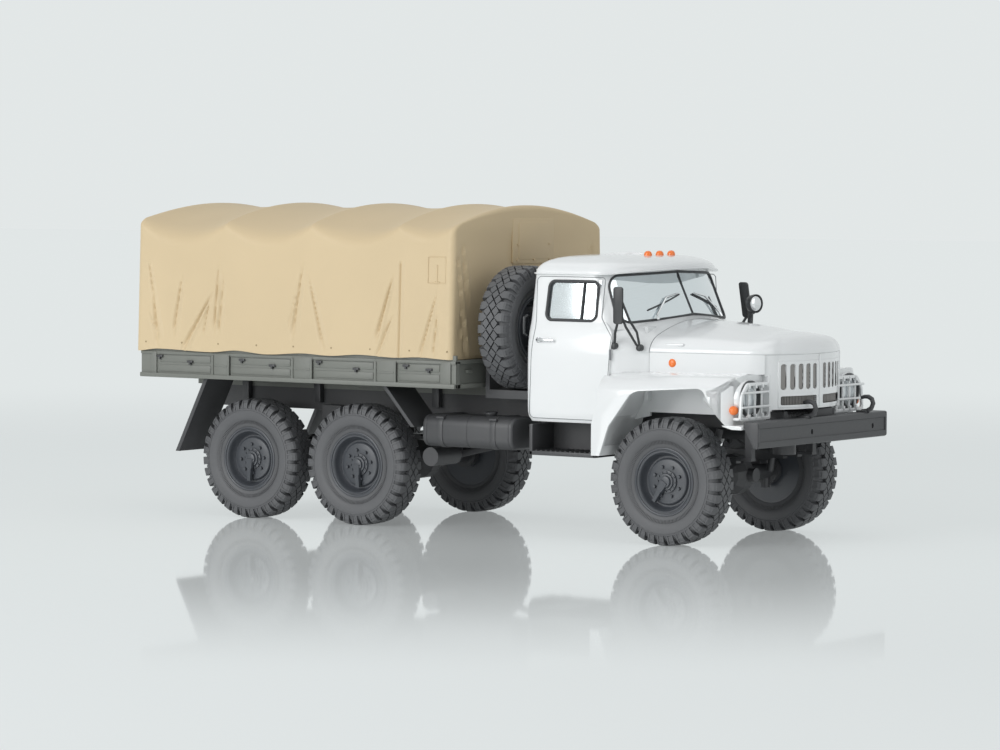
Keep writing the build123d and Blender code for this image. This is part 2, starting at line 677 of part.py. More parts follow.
# Headlight guard: outline of its plate as (y, z), the opening in it, and its bars
GUARD_BACK = 18.0
GUARD_FRONT = 18.6
GUARD_OUTLINE = ((13.2, 26.0), (25.6, 26.0), (25.0, 31.4), (22.4, 33.8), (13.7, 33.8))
GUARD_OPENING = ((13.9, 26.7), (24.8, 26.7), (24.3, 31.1), (22.1, 33.1), (14.3, 33.1))
GUARD_UPRIGHTS = (16.4, 19.0, 21.6)
GUARD_BARS = (28.8, 31.7)
GUARD_BAR = 0.5
GUARD_STAYS = ((13.6, 26.3), (24.7, 26.3), (14.0, 33.3))


def lamp_guards():
    """Plates with crossed bars before the headlights, with stays back to the wing."""
    guard = front_prism(GUARD_OUTLINE, GUARD_BACK, GUARD_FRONT)
    guard -= front_prism(GUARD_OPENING, GUARD_BACK, GUARD_FRONT)
    half = GUARD_BAR / 2
    for y in GUARD_UPRIGHTS:
        guard += block(GUARD_BACK, GUARD_FRONT, y - half, y + half, 26.2, 33.5)
    for z in GUARD_BARS:
        guard += block(GUARD_BACK, GUARD_FRONT + 0.3, NOSE_HALF + 0.3, 25.1, z - half, z + half)
    for y, z in GUARD_STAYS:
        guard += block(WING_FACE, GUARD_BACK, y - half, y + half, z - half, z + half)
    return both(guard)


def indicators():
    """Orange lamps: one on each bonnet side and one on each wing's front corner."""
    x = -2.1
    half = between(BONNET_SECTIONS, x, 1)
    side = rod((x, half - 1, 37.1), (x, half + 0.7, 37.1), 0.95) - bonnet_form(0)
    side -= block(x - 2, x + 2, half - 2, half - 0.2, 35, 39)
    corner = rod((15.0, WING_HALF, 28.7), (15.0, WING_HALF + 0.6, 28.7), 1.0)
    return both(side) + both(corner)


def roof_lamps():
    """Three marker lamps along the roof's front edge."""
    roof = cab_upper(0)
    return [rod((-16.6, y, ROOF_Z - 1.5), (-16.6, y, 59.35), 0.75) - roof for y in (-4.55, 0.0, 4.55)]


# Mirror arms as runs from the plate to the cowl, each (x, y, z)
MIRROR_ARMS = (
    ((-10.1, 25.9, 44.9), (-10.9, 24.0, 40.4)),
    ((-9.6, 25.9, 49.6), (-6.2, 23.4, 43.4), (-6.2, 21.5, 39.9)),
    ((-9.8, 25.9, 46.0), (-6.2, 21.5, 39.9)),
)


def mirror(side):
    """Mirror plate on its arms from the cowl's upper corner."""
    plate = block(-11.3, -9.2, 25.6, 26.2, 44.8, 52.3)
    for arm in MIRROR_ARMS:
        plate += rods(arm, 0.3)
    plate -= cab_lower(0)
    return plate if side > 0 else flip(plate)


def spotlight():
    x, y, z = -5.0, 18.4, 48.3
    lamp = rod((x - 0.6, y, z), (x + 1.8, y, z), 1.7)
    return lamp + rod((x, y, z), (x, y, CREASE_Z + 0.5), 0.35) - bonnet_form(0)


def wipers():
    arm = rods([(-7.4, 3.0, 46.6), (-8.6, 7.0, 50.2)], 0.22)
    return both(arm)


def door_handles():
    handle = block(-31.4, -27.0, CAB_HALF, CAB_HALF + 0.5, 40.8, 41.4)
    x, out = -32.6, CAB_HALF + 0.5
    grab = rods([(x, out - 1.1, 41.8), (x, out, 42.2), (x, out, 45.4), (x, out - 2.1, 45.8)], 0.25)
    grab -= cab_lower(0)
    return both(handle) + both(grab - cab_upper(0))


def cab_interior():
    """Seat bench, dashboard, steering wheel and gear levers in one moulding."""
    body = block(-33.0, -23.5, -20.0, 20.0, CAB_FLOOR, 35.5)
    body += block(-33.0, -31.0, -20.0, 20.0, 35.5, 45.0)
    return body


def steering_wheel():
    axis = Plane((-18.5, 9.5, 42.0), z_dir=(-1, 0, 1.2))
    ring = axis * (extrude(RegularPolygon(3.8, 16), 0.5) - extrude(RegularPolygon(3.2, 16), 0.5))
    spokes = axis * (Pos(0, 0, 0.25) * (Box(6.8, 0.6, 0.4) + Box(0.6, 6.8, 0.4) + Box(1.8, 1.8, 0.5)))
    column = rod((-18.5, 9.5, 42.0), (-8.5, 9.5, CAB_FLOOR + 0.4), 0.45)
    return ring + spokes + column


def dashboard():
    points = [(-7.6, 38.0), (-7.6, 44.8), (-13.4, 44.2), (-13.8, 41.0), (-11.5, 38.0)]
    return side_prism(points, -17.8, 17.8)


def cab_steps(side):
    """Step well under the door: back wall, two ends and a ribbed tread."""
    x0, x1 = -32.8, -16.4
    body = block(x0, x1, 15.5, 24.6, 17.2, 23.6)
    body -= block(x0 + 0.8, x1 - 0.8, 17.4, 26, 18.2, 24)
    return body if side > 0 else flip(body)


TANK_REAR = MIDDLE_X + TYRE_R + 5.2
TANK_FRONT = TANK_REAR + 23.0


def fuel_tank(side):
    """Rounded tank hung outside the frame rail on two brackets."""
    points = [(14.6, 17.9), (25.5, 17.9), (25.5, 24.6), (14.6, 24.6)]
    body = front_prism(points, TANK_REAR, TANK_FRONT, 2.4)
    for x in (TANK_REAR + 4.6, TANK_FRONT - 4.9):
        body += block(x - 0.7, x + 0.7, RAIL_OUT, 15.2, 22.4, 24.0)
    return body if side > 0 else flip(body)


def air_tank():
    """Air cylinder under the right-hand tank's rear, hung from the frame."""
    x, z, r = TANK_REAR - 0.6, 15.4, 2.0
    body = rod((x, -12.8, z), (x, -21.5, z), r)
    body += block(x - 0.6, x + 0.6, -14.4, -12.8, z, RAIL_BOTTOM + 0.8)
    body += block(x - 0.6, x + 0.6, -12.8, -RAIL_OUT, RAIL_BOTTOM, RAIL_BOTTOM + 0.8)
    return body


def engine():
    """Engine and gearbox under the bonnet as one block."""
    body = block(-4.6, 10.0, -5.2, 5.2, 21.0, 33.6)
    body += block(-25.0, -4.6, -4.0, 4.0, 20.6, 27.0)
    return body


def transfer_case():
    body = block(-43.5, -35.5, -5.6, 5.6, 17.0, 24.2)
    body += block(-44.5, -43.5, -3.0, 3.0, 18.5, 22.5)
    return body


def prop_shafts(ends):
    """Shafts from the gearbox to the transfer case and on to the three axles, cut to their ends."""
    ball_x = BALL_LENGTH
    shafts = [
        rod((-24.0, 0, 22.5), (-36.5, 0, 21.5), 0.8),
        rod((-ball_x + 1, 3.0, AXLE_Z), (-36.5, 3.0, 18.6), 0.7),
        rod((MIDDLE_X + ball_x - 1, 0, AXLE_Z), (-43.5, 0, 20.0), 0.7),
        rod((REAR_X + ball_x, 0, AXLE_Z), (MIDDLE_X - ball_x, 0, AXLE_Z), 0.7),
    ]
    for end in ends:
        shafts = [shaft - end for shaft in shafts]
    return shafts


def exhaust():
    return rod((-30.0, 7.6, 20.0), (-46.0, 7.6, 20.0), 1.2)


BEARERS = 6


def bed_floor():
    """Floor with its cross bearers and the long sills that stand on the frame rails."""
    under = BED_FLOOR_TOP - FLOOR_THICK
    sill_top = under - 1.4
    inner = BED_HALF - BOARD
    body = block(BED_REAR + BOARD, BED_FRONT - BOARD, -inner, inner, under, BED_FLOOR_TOP)
    for side in (1, -1):
        low, high = sorted((side * RAIL_IN, side * RAIL_OUT))
        body += block(BED_REAR + 1.5, BED_FRONT - 1.5, low, high, RAIL_TOP, sill_top)
    for bearer in range(BEARERS):
        x = BED_REAR + 2.6 + bearer * (BED_FRONT - BED_REAR - 6.8) / (BEARERS - 1)
        body += block(x - 0.9, x + 0.9, -inner, inner, sill_top, under)
    return body


# Side posts: how far each one's middle is behind the bed's front, and its half width
POSTS = ((81.5, 0.55), (62.7, 2.3), (40.3, 2.6), (18.0, 2.6), (2.2, 1.2))


def bed_side(side):
    """Drop side with its rails, posts and recessed panels."""
    body = block(BED_REAR, BED_FRONT, BED_HALF - BOARD, BED_HALF, BED_BOTTOM, BOARD_TOP)
    for behind, half in POSTS:
        x = BED_FRONT - behind
        body += block(x - half, x + half, BED_HALF, BED_HALF + POST_OUT, BED_BOTTOM, TARP_BOTTOM - 0.3)
    body += block(BED_REAR, BED_FRONT, BED_HALF, BED_HALF + POST_OUT, BED_BOTTOM, BED_BOTTOM + 1.0)
    drawn_in = TARP_CORNER + TARP_WALL + 0.1
    for x0, x1 in ((TARP_FRONT - drawn_in, BED_FRONT), (BED_REAR, TARP_REAR + drawn_in)):
        body -= block(x0, x1, 0, BED_HALF + 1, TARP_BOTTOM - SEAT_GAP, BOARD_TOP + 1)
    return body if side > 0 else flip(body)


def headboard():
    inner = BED_HALF - BOARD
    return block(BED_FRONT - BOARD, BED_FRONT, -inner, inner, BED_BOTTOM, HEADBOARD_TOP)


def tailgate():
    inner = BED_HALF - BOARD
    body = block(BED_REAR, BED_REAR + BOARD, -inner, inner, BED_BOTTOM, BOARD_TOP)
    return body


# Tarpaulin between two bows: how far the ridge and the eave sag, and how much softer the eave's corner gets
RIDGE_SAG = 0.65
EAVE_SAG = 1.6
CORNER_AT_BOW = 1.3
CORNER_SAG = 1.3
FULL_BAY = 24.0


def tarp_section(x, sag, inset):
    """Section across the tarpaulin: walls, cut corners and an arched roof."""
    eave = TARP_EAVE + 0.6 - EAVE_SAG * sag - inset * 0.5
    ridge = TARP_RIDGE - RIDGE_SAG * sag - inset
    corner = CORNER_AT_BOW + CORNER_SAG * sag
    low = TARP_HALF_LOW - inset
    top = TARP_HALF_TOP - inset
    roof_y, roof_z = top - corner * 1.1, eave + corner * 0.3
    line = Polyline((-roof_y, roof_z), (-top, eave - corner), (-low, TARP_BOTTOM), (low, TARP_BOTTOM),
                    (top, eave - corner), (roof_y, roof_z))
    roof = ThreePointArc((roof_y, roof_z), (0, ridge), (-roof_y, roof_z))
    plane = Plane((x, 0, 0), x_dir=(0, 1, 0), z_dir=(1, 0, 0))
    return plane * make_face(line + roof)


def tarp_loft(inset):
    """Closed form of the tarpaulin, drawn in by inset on all sides but the bottom."""
    rows = [(TARP_BOWS[0] + inset, 0.0, TARP_CORNER), (TARP_BOWS[0] + inset + TARP_CORNER, 0.0, 0.0)]
    for low, high in zip(TARP_BOWS, TARP_BOWS[1:]):
        rows.append(((low + high) / 2, min((high - low) / FULL_BAY, 1.0), 0.0))
        if high != TARP_BOWS[-1]:
            rows.append((high, 0.0, 0.0))
    rows += [(TARP_BOWS[-1] - inset - TARP_CORNER, 0.0, 0.0), (TARP_BOWS[-1] - inset, 0.0, TARP_CORNER)]
    return loft([tarp_section(x, sag, inset + drawn) for x, sag, drawn in rows], ruled=True)


def tarpaulin():
    return tarp_loft(0) - tarp_loft(TARP_WALL)


GUARD_TOP = BED_BOTTOM - 0.1
GUARD_THICK = 1.0
# Mudguards as (x, z) of the upper and the lower edge
FRONT_MUDGUARD = ((MIDDLE_X + 10.0, GUARD_TOP), (MIDDLE_X + 17.4, 22.0))
REAR_MUDGUARD = ((REAR_X - 9.5, GUARD_TOP), (REAR_X - 17.5, 14.2))


def mudguards():
    """Plates before and behind the bogie wheels, hung from the bed."""
    guards = []
    outer = BED_HALF - BOARD - 0.2
    for (top_x, top_z), (low_x, low_z) in (FRONT_MUDGUARD, REAR_MUDGUARD):
        half = GUARD_THICK / 2
        points = [(top_x - half, top_z), (top_x + half, top_z), (low_x + half, low_z), (low_x - half, low_z)]
        guards += both(side_prism(points, WHEEL_Y - 3.1, outer))
    return guards


def rear_hook():
    body = block(MODEL_REAR + 0.4, FRAME_REAR, -1.6, 1.6, RAIL_BOTTOM + 0.6, RAIL_TOP - 1.6)
    return body


def tail_lamps():
    lamp = block(BED_REAR - 0.7, BED_REAR, 22.0, 25.5, 31.2, 32.8)
    return both(lamp)


def pair(shape_of_side):
    return [shape_of_side(1), shape_of_side(-1)]


def build():
    parts = {}
    build_wheels(parts)
    parts["axle_pins"] = axle_pins()
    front_axle = axle_housing(0.0, 3.0, True)
    bogie_axles = [axle_housing(x, 0.0, False) for x in (MIDDLE_X, REAR_X)]
    parts["front_axle"] = [front_axle]
    parts["bogie_axles"] = bogie_axles
    parts["front_springs"] = both(leaf_spring(0.0, 14.0, RAIL_BOTTOM, 4, 0.8))
    parts["bogie_springs"] = both(bogie_springs())
    parts["frame_rail_left"] = [rail(1)]
    parts["frame_rail_right"] = [rail(-1)]
    parts["frame_crossmembers"] = crossmembers()
    parts["engine_block"] = [engine()]
    parts["transfer_case"] = [transfer_case()]
    parts["prop_shafts"] = prop_shafts([front_axle, engine(), transfer_case()] + bogie_axles)
    parts["exhaust"] = [exhaust()]
    parts["fuel_tanks"] = pair(fuel_tank)
    parts["air_tank"] = [air_tank()]
    parts["cab_shell"] = [cab_shell()]
    parts["cab_glass"] = cab_glass()
    parts["cab_seats"] = [cab_interior()]
    parts["dashboard"] = [dashboard()]
    parts["steering_wheel"] = [steering_wheel()]
    parts["cab_steps"] = pair(cab_steps)
    parts["handles"] = door_handles()
    parts["mirrors"] = pair(mirror)
    parts["wipers"] = wipers()
    parts["spotlight"] = [spotlight()]
    parts["orange_lamps"] = indicators() + roof_lamps()
    parts["bonnet"] = [bonnet()]
    parts["nose_grille"] = [nose()]
    parts["radiator"] = [radiator()]
    parts["wing_left"] = [wing(1)]
    parts["wing_right"] = [wing(-1)]
    parts["headlights"] = headlights()
    parts["lamp_guards"] = lamp_guards()
    parts["bumper"] = [bumper()]
    parts["winch"] = [winch()]
    parts["tow_hooks"] = tow_hooks() + [rear_hook()]
    parts["spare_carrier"] = [spare_carrier()]
    parts["bed_floor"] = [bed_floor()]
    parts["bed_side_left"] = [bed_side(1)]
    parts["bed_side_right"] = [bed_side(-1)]
    parts["headboard"] = [headboard()]
    parts["tailgate"] = [tailgate()]
    parts["tarpaulin"] = [tarpaulin()]
    parts["mudguards"] = mudguards()
    parts["tail_lamps"] = tail_lamps()
    return parts


os.makedirs("parts", exist_ok=True)
for name, shapes in build().items():
    placed = [Pos(-X_MIDDLE, 0, 0) * solid for shape in shapes for solid in shape.solids()]
    whole = placed[0] if len(placed) == 1 else Compound(children=placed)
    export_step(whole, "parts/" + name + ".step")
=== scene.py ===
import json
import math

import bmesh
import bpy
from mathutils import Matrix, Vector
from mathutils.bvhtree import BVHTree
from mathutils.noise import noise


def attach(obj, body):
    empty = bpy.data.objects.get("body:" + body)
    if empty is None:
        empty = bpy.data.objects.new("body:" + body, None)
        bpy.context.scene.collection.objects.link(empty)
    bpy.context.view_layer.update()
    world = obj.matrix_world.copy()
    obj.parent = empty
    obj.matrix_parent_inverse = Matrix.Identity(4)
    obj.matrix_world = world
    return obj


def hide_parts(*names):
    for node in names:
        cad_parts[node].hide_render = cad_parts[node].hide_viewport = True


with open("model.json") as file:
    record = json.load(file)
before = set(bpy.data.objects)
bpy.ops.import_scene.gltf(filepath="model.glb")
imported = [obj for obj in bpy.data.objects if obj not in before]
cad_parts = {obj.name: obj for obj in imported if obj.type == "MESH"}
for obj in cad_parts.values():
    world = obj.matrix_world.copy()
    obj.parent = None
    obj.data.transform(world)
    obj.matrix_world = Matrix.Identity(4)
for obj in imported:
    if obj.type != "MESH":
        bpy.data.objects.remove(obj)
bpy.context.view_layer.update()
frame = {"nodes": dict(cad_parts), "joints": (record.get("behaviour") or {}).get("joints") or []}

# Places are written in millimetres from the front axle, as the truck is laid out
MM = 0.001
# Points closer than this are one, in metres: within a mesh, and along the seam of two halves
WELD, SEAM_WELD = 1e-7, 1e-5
JOINTS = {joint["name"]: joint for joint in frame["joints"]}
ORIGIN_X = JOINTS["roll_front_left"]["pos_m"][0] / MM
AXLE_Z = JOINTS["roll_front_left"]["pos_m"][2] / MM
WHEEL_Y = JOINTS["roll_front_left"]["pos_m"][1] / MM
MIDDLE_X = JOINTS["roll_middle_left"]["pos_m"][0] / MM - ORIGIN_X
REAR_X = JOINTS["roll_rear_left"]["pos_m"][0] / MM - ORIGIN_X

# Camera: focal length in millimetres on a 36 mm sensor, place, and angles in degrees
LENS = 137.2
CAMERA_X, CAMERA_Y, CAMERA_Z = 410.2, -678.0, 72.9
YAW, PITCH, ROLL = 34.58, 2.84, 0.26


def at(x, y, z):
    """A point of the truck, in metres in the shared frame."""
    return Vector(((x + ORIGIN_X) * MM, y * MM, z * MM))


# Mesh helpers


def add_object(name, mesh):
    obj = bpy.data.objects.new(name, mesh)
    bpy.context.scene.collection.objects.link(obj)
    return obj


def heal(mesh, weld=0.0):
    """Welds points that lie within a distance, and turns the faces outward."""
    bm = bmesh.new()
    bm.from_mesh(mesh)
    if weld:
        bmesh.ops.remove_doubles(bm, verts=bm.verts, dist=weld)
    bmesh.ops.recalc_face_normals(bm, faces=bm.faces)
    bm.to_mesh(mesh)
    bm.free()
    return mesh


def make_mesh(name, points, faces):
    """Object from points in truck millimetres and faces of their indices."""
    mesh = bpy.data.meshes.new(name)
    mesh.from_pydata([at(*p) for p in points], [], faces)
    return add_object(name, heal(mesh, WELD))


def apply_modifiers(obj):
    depsgraph = bpy.context.evaluated_depsgraph_get()
    mesh = bpy.data.meshes.new_from_object(obj.evaluated_get(depsgraph))
    obj.modifiers.clear()
    old = obj.data
    obj.data = mesh
    bpy.data.meshes.remove(old)
    return obj


def soften(bm, angle):
    """Smooth shading with sharp edges above the angle."""
    limit = math.radians(angle)
    for face in bm.faces:
        face.smooth = True
    for edge in bm.edges:
        edge.smooth = len(edge.link_faces) == 2 and edge.calc_face_angle(0) < limit


def smooth(obj, angle):
    bm = bmesh.new()
    bm.from_mesh(obj.data)
    soften(bm, angle)
    bm.to_mesh(obj.data)
    bm.free()
    return obj


def bevel(obj, width, segments=2, angle=30):
    modifier = obj.modifiers.new("bevel", "BEVEL")
    modifier.width = width * MM
    modifier.segments = segments
    modifier.limit_method = "ANGLE"
    modifier.angle_limit = math.radians(angle)
    modifier.use_clamp_overlap = True
    return apply_modifiers(obj)


def combine(obj, cutter, operation):
    modifier = obj.modifiers.new("cut", "BOOLEAN")
    modifier.operation = operation
    modifier.solver = "EXACT"
    modifier.object = cutter
    return apply_modifiers(obj)


def drop(obj):
    mesh = obj.data
    bpy.data.objects.remove(obj)
    bpy.data.meshes.remove(mesh)


def cut(obj, *cutters):
    for cutter in cutters:
        combine(obj, cutter, "DIFFERENCE")
        drop(cutter)
    return obj


def join(name, parts):
    """One object from several, which then no longer exist."""
    bm = bmesh.new()
    for part in parts:
        part.data.transform(part.matrix_world)
        bm.from_mesh(part.data)
    mesh = bpy.data.meshes.new(name)
    bm.to_mesh(mesh)
    bm.free()
    for part in parts:
        drop(part)
    return add_object(name, mesh)


def mirrored(obj, name):
    """Copy on the truck's other side."""
    mesh = obj.data.copy()
    mesh.transform(Matrix.Scale(-1, 4, (0, 1, 0)))
    mesh.flip_normals()
    return add_object(name, mesh)


def rounded_outline(corners, radius, steps=6):
    """Closed list of 2-D points from corners, each rounded with an arc."""
    radii = radius if isinstance(radius, (list, tuple)) else [radius] * len(corners)
    points = []
    count = len(corners)
    for index, corner in enumerate(corners):
        here = Vector(corner)
        before = Vector(corners[index - 1])
        after = Vector(corners[(index + 1) % count])
        into = (before - here).normalized()
        out = (after - here).normalized()
        r = radii[index]
        half = into.angle(out) / 2
        if r < 1e-6 or half > math.radians(89.5):
            points.append(tuple(here))
            continue
        reach = r / math.tan(half)
        centre = here + (into + out).normalized() * (r / math.sin(half))
        start = here + into * reach - centre
        end = here + out * reach - centre
        sweep = start.angle_signed(end)
        for step in range(steps + 1):
            turned = start.copy()
            turned.rotate(Matrix.Rotation(-sweep * step / steps, 2))
            points.append(tuple(centre + turned))
    return points


def prism(name, outline, low, high, axis):
    """Closed prism along an axis; the outline is given in the other two axes, in their order."""
    order = {"x": (2, 0, 1), "y": (0, 2, 1), "z": (0, 1, 2)}[axis]
    points = []
    for level in (low, high):
        for a, b in outline:
            values = (a, b, level)
            points.append(tuple(values[i] for i in order))
    count = len(outline)
    faces = [list(range(count)), list(range(2 * count - 1, count - 1, -1))]
    for i in range(count):
        j = (i + 1) % count
        faces.append([i, j, j + count, i + count])
    return make_mesh(name, points, faces)


def box(name, x0, x1, y0, y1, z0, z1):
    return prism(name, [(x0, y0), (x1, y0), (x1, y1), (x0, y1)], z0, z1, "z")


def soft_box(name, x0, x1, y0, y1, z0, z1, width, segments=2):
    """Box with bevelled edges."""
    return bevel(box(name, x0, x1, y0, y1, z0, z1), width, segments)


def span(side, near, far):
    """Low and high y of a run on one side of the truck, from its distances from the middle."""
    return sorted((side * near, side * far))


def tube(name, path, radius, sides=10, closed=False):
    """Round bar along a path of points; radius may be a list with one value for each point."""
    path = [Vector(p) for p in path]
    radii = radius if isinstance(radius, (list, tuple)) else [radius] * len(path)
    count = len(path)
    points, faces = [], []
    normal = None
    for index, here in enumerate(path):
        before = path[index - 1] if closed or index else here
        after = path[(index + 1) % count] if closed or index < count - 1 else here
        along = (after - before).normalized()
        if normal is None:
            normal = along.orthogonal().normalized()
        normal = (normal - along * normal.dot(along)).normalized()
        binormal = along.cross(normal)
        for side in range(sides):
            angle = 2 * math.pi * side / sides
            points.append(here + (normal * math.cos(angle) + binormal * math.sin(angle)) * radii[index])
    spans = count if closed else count - 1
    for index in range(spans):
        low = index * sides
        high = ((index + 1) % count) * sides
        for side in range(sides):
            other = (side + 1) % sides
            faces.append([low + side, low + other, high + other, high + side])
    if not closed:
        faces.append(list(range(sides)))
        faces.append(list(range((count - 1) * sides, count * sides)))
    return make_mesh(name, points, faces)


def spun(name, profile, centre, axis, sides=48):
    """Solid of revolution; the profile is (distance along the axis, radius)."""
    axis = Vector(axis).normalized()
    across = axis.orthogonal().normalized()
    third = axis.cross(across)
    points, faces = [], []
    for along, radius in profile:
        for side in range(sides):
            angle = 2 * math.pi * side / sides
            ring = (across * math.cos(angle) + third * math.sin(angle)) * radius
            points.append(Vector(centre) + axis * along + ring)
    for row in range(len(profile) - 1):
        for side in range(sides):
            other = (side + 1) % sides
            low, high = row * sides, (row + 1) * sides
            faces.append([low + side, low + other, high + other, high + side])
    if profile[0][1] > 1e-6 and profile[0] != profile[-1]:
        faces.append(list(range(sides)))
    if profile[-1][1] > 1e-6 and profile[0] != profile[-1]:
        faces.append(list(range((len(profile) - 1) * sides, len(profile) * sides)))
    return make_mesh(name, points, faces)


def smoothstep(low, high, value):
    t = min(max((value - low) / (high - low), 0.0), 1.0)
    return t * t * (3 - 2 * t)


# Camera, floor and light


def make_camera():
    yaw, pitch, roll = (math.radians(a) for a in (YAW, PITCH, ROLL))
    back = Vector((math.sin(yaw) * math.cos(pitch), -math.cos(yaw) * math.cos(pitch), math.sin(pitch)))
    right = (-back).cross(Vector((0, 0, 1))).normalized()
    up = right.cross(-back)
    turned_right = right * math.cos(roll) + up * math.sin(roll)
    turned_up = up * math.cos(roll) - right * math.sin(roll)
    camera = bpy.data.objects.new("camera", bpy.data.cameras.new("camera"))
    camera.data.lens = LENS
    camera.data.sensor_width = 36
    camera.data.clip_end = 20
    camera.data.clip_start = 0.01
    matrix = Matrix((turned_right, turned_up, back)).transposed().to_4x4()
    matrix.translation = at(CAMERA_X, CAMERA_Y, CAMERA_Z)
    camera.matrix_world = matrix
    bpy.context.scene.collection.objects.link(camera)
    bpy.context.scene.camera = camera


FLOOR_COLOUR = (0.765, 0.80, 0.80, 1)
BACKDROP_COLOUR = FLOOR_COLOUR
# Half width of the floor, in metres
FLOOR_HALF = 4.0
GLOSS_COLOUR = (0.97, 0.98, 0.98, 1)
GLOSS_ROUGHNESS = 0.04
LIGHT_COLOUR = (0.95, 0.98, 1.0, 1)
LIGHT_STRENGTH = 0.41
# The mirror image is full up to the first distance in front of the truck and gone at the second, in millimetres
MIRROR_SHARE = 0.50
MIRROR_FULL, MIRROR_GONE = 50.0, 230.0
VIEW_X, VIEW_Y = 0.5675, -0.8233
# Distance from the truck at which the table's own shading has gone into the backdrop, in metres
SHADED_NEAR, SHADED_FAR = 0.22, 0.60
# Lights: name, place, size in metres, power in watts
LIGHTS = (
    ("key_light", (-200, -640, 270), 0.45, 2.75),
    ("top_light", (-60, 40, 560), 0.60, 0.6),
    ("side_light", (430, -110, 230), 0.40, 0.42),
)
LIGHT_TARGET = (-50, 0, 30)


def add_node(tree, kind, inputs=None, **settings):
    """Shader node; each of its inputs is given a value, or the socket that feeds it."""
    node = tree.nodes.new("ShaderNode" + kind)
    for key, value in settings.items():
        setattr(node, key, value)
    for key, value in (inputs or {}).items():
        if isinstance(value, bpy.types.NodeSocket):
            tree.links.new(value, node.inputs[key])
        else:
            node.inputs[key].default_value = value
    return node


def share_between(tree, value, near, far, at_near, at_far):
    """Share that passes smoothly from one value to another between two distances."""
    ends = {"Value": value, "From Min": near, "From Max": far, "To Min": at_near, "To Max": at_far}
    return add_node(tree, "MapRange", ends, interpolation_type="SMOOTHSTEP").outputs["Result"]


def mix_shaders(tree, share, first, second):
    return add_node(tree, "MixShader", {"Fac": share, 1: first.outputs[0], 2: second.outputs[0]})


def make_floor():
    """Glossy pale table: it keeps a shadow and a soft mirror image of the model, and runs into the backdrop."""
    half = FLOOR_HALF
    mesh = bpy.data.meshes.new("floor")
    corners = [(-half, -half, 0), (half, -half, 0), (half, half, 0), (-half, half, 0)]
    mesh.from_pydata(corners, [], [[0, 1, 2, 3]])
    floor = add_object("floor", mesh)
    material = bpy.data.materials.new("floor")
    material.use_nodes = True
    tree = material.node_tree
    tree.nodes.clear()
    place = add_node(tree, "NewGeometry").outputs["Position"]
    # Distance in front of the truck, along the floor towards the camera
    ahead = add_node(tree, "VectorMath", {0: place, 1: (VIEW_X / MM, VIEW_Y / MM, 0)}, operation="DOT_PRODUCT")
    away = add_node(tree, "VectorMath", {0: place}, operation="LENGTH")
    shift = VIEW_X * ORIGIN_X
    mirror_share = share_between(tree, ahead.outputs["Value"], MIRROR_FULL + shift, MIRROR_GONE + shift,
                                 MIRROR_SHARE, 0)
    glow_share = share_between(tree, away.outputs["Value"], SHADED_NEAR, SHADED_FAR, 0.5, 1)
    diffuse = add_node(tree, "BsdfDiffuse", {"Color": FLOOR_COLOUR})
    glow = add_node(tree, "Emission", {"Color": FLOOR_COLOUR})
    gloss = add_node(tree, "BsdfGlossy", {"Color": GLOSS_COLOUR, "Roughness": GLOSS_ROUGHNESS})
    mirror = mix_shaders(tree, mirror_share, mix_shaders(tree, glow_share, diffuse, glow), gloss)
    add_node(tree, "OutputMaterial", {"Surface": mirror.outputs[0]})
    mesh.materials.append(material)


def make_world():
    """Even pale light; the camera, mirrors and glass see the pale backdrop."""
    world = bpy.data.worlds.new("studio")
    bpy.context.scene.world = world
    world.use_nodes = True
    tree = world.node_tree
    tree.nodes.clear()
    light = add_node(tree, "Background", {"Color": LIGHT_COLOUR, "Strength": LIGHT_STRENGTH})
    seen = add_node(tree, "Background", {"Color": BACKDROP_COLOUR, "Strength": 1.0})
    rays = add_node(tree, "LightPath").outputs
    direct = add_node(tree, "Math", {0: rays["Is Camera Ray"], 1: rays["Is Glossy Ray"]}, operation="MAXIMUM")
    sees = add_node(tree, "Math", {0: direct.outputs[0], 1: rays["Is Transmission Ray"]}, operation="MAXIMUM")
    add_node(tree, "OutputWorld", {"Surface": mix_shaders(tree, sees.outputs[0], light, seen).outputs[0]})


def make_lights():
    """A soft box beside the truck's right side, one overhead and one before its front."""
    target = at(*LIGHT_TARGET)
    for name, place, size, power in LIGHTS:
        lamp = bpy.data.lights.new(name, "AREA")
        lamp.shape = "SQUARE"
        lamp.size = size
        lamp.energy = power
        obj = bpy.data.objects.new(name, lamp)
        obj.location = at(*place)
        obj.rotation_euler = (target - obj.location).to_track_quat("-Z", "Y").to_euler()
        bpy.context.scene.collection.objects.link(obj)

# Finishes


COAT_ROUGHNESS = 0.04
# Specks to the metre, and their height in metres
GRAIN_SIZE, GRAIN_HEIGHT = 900.0, 0.0002


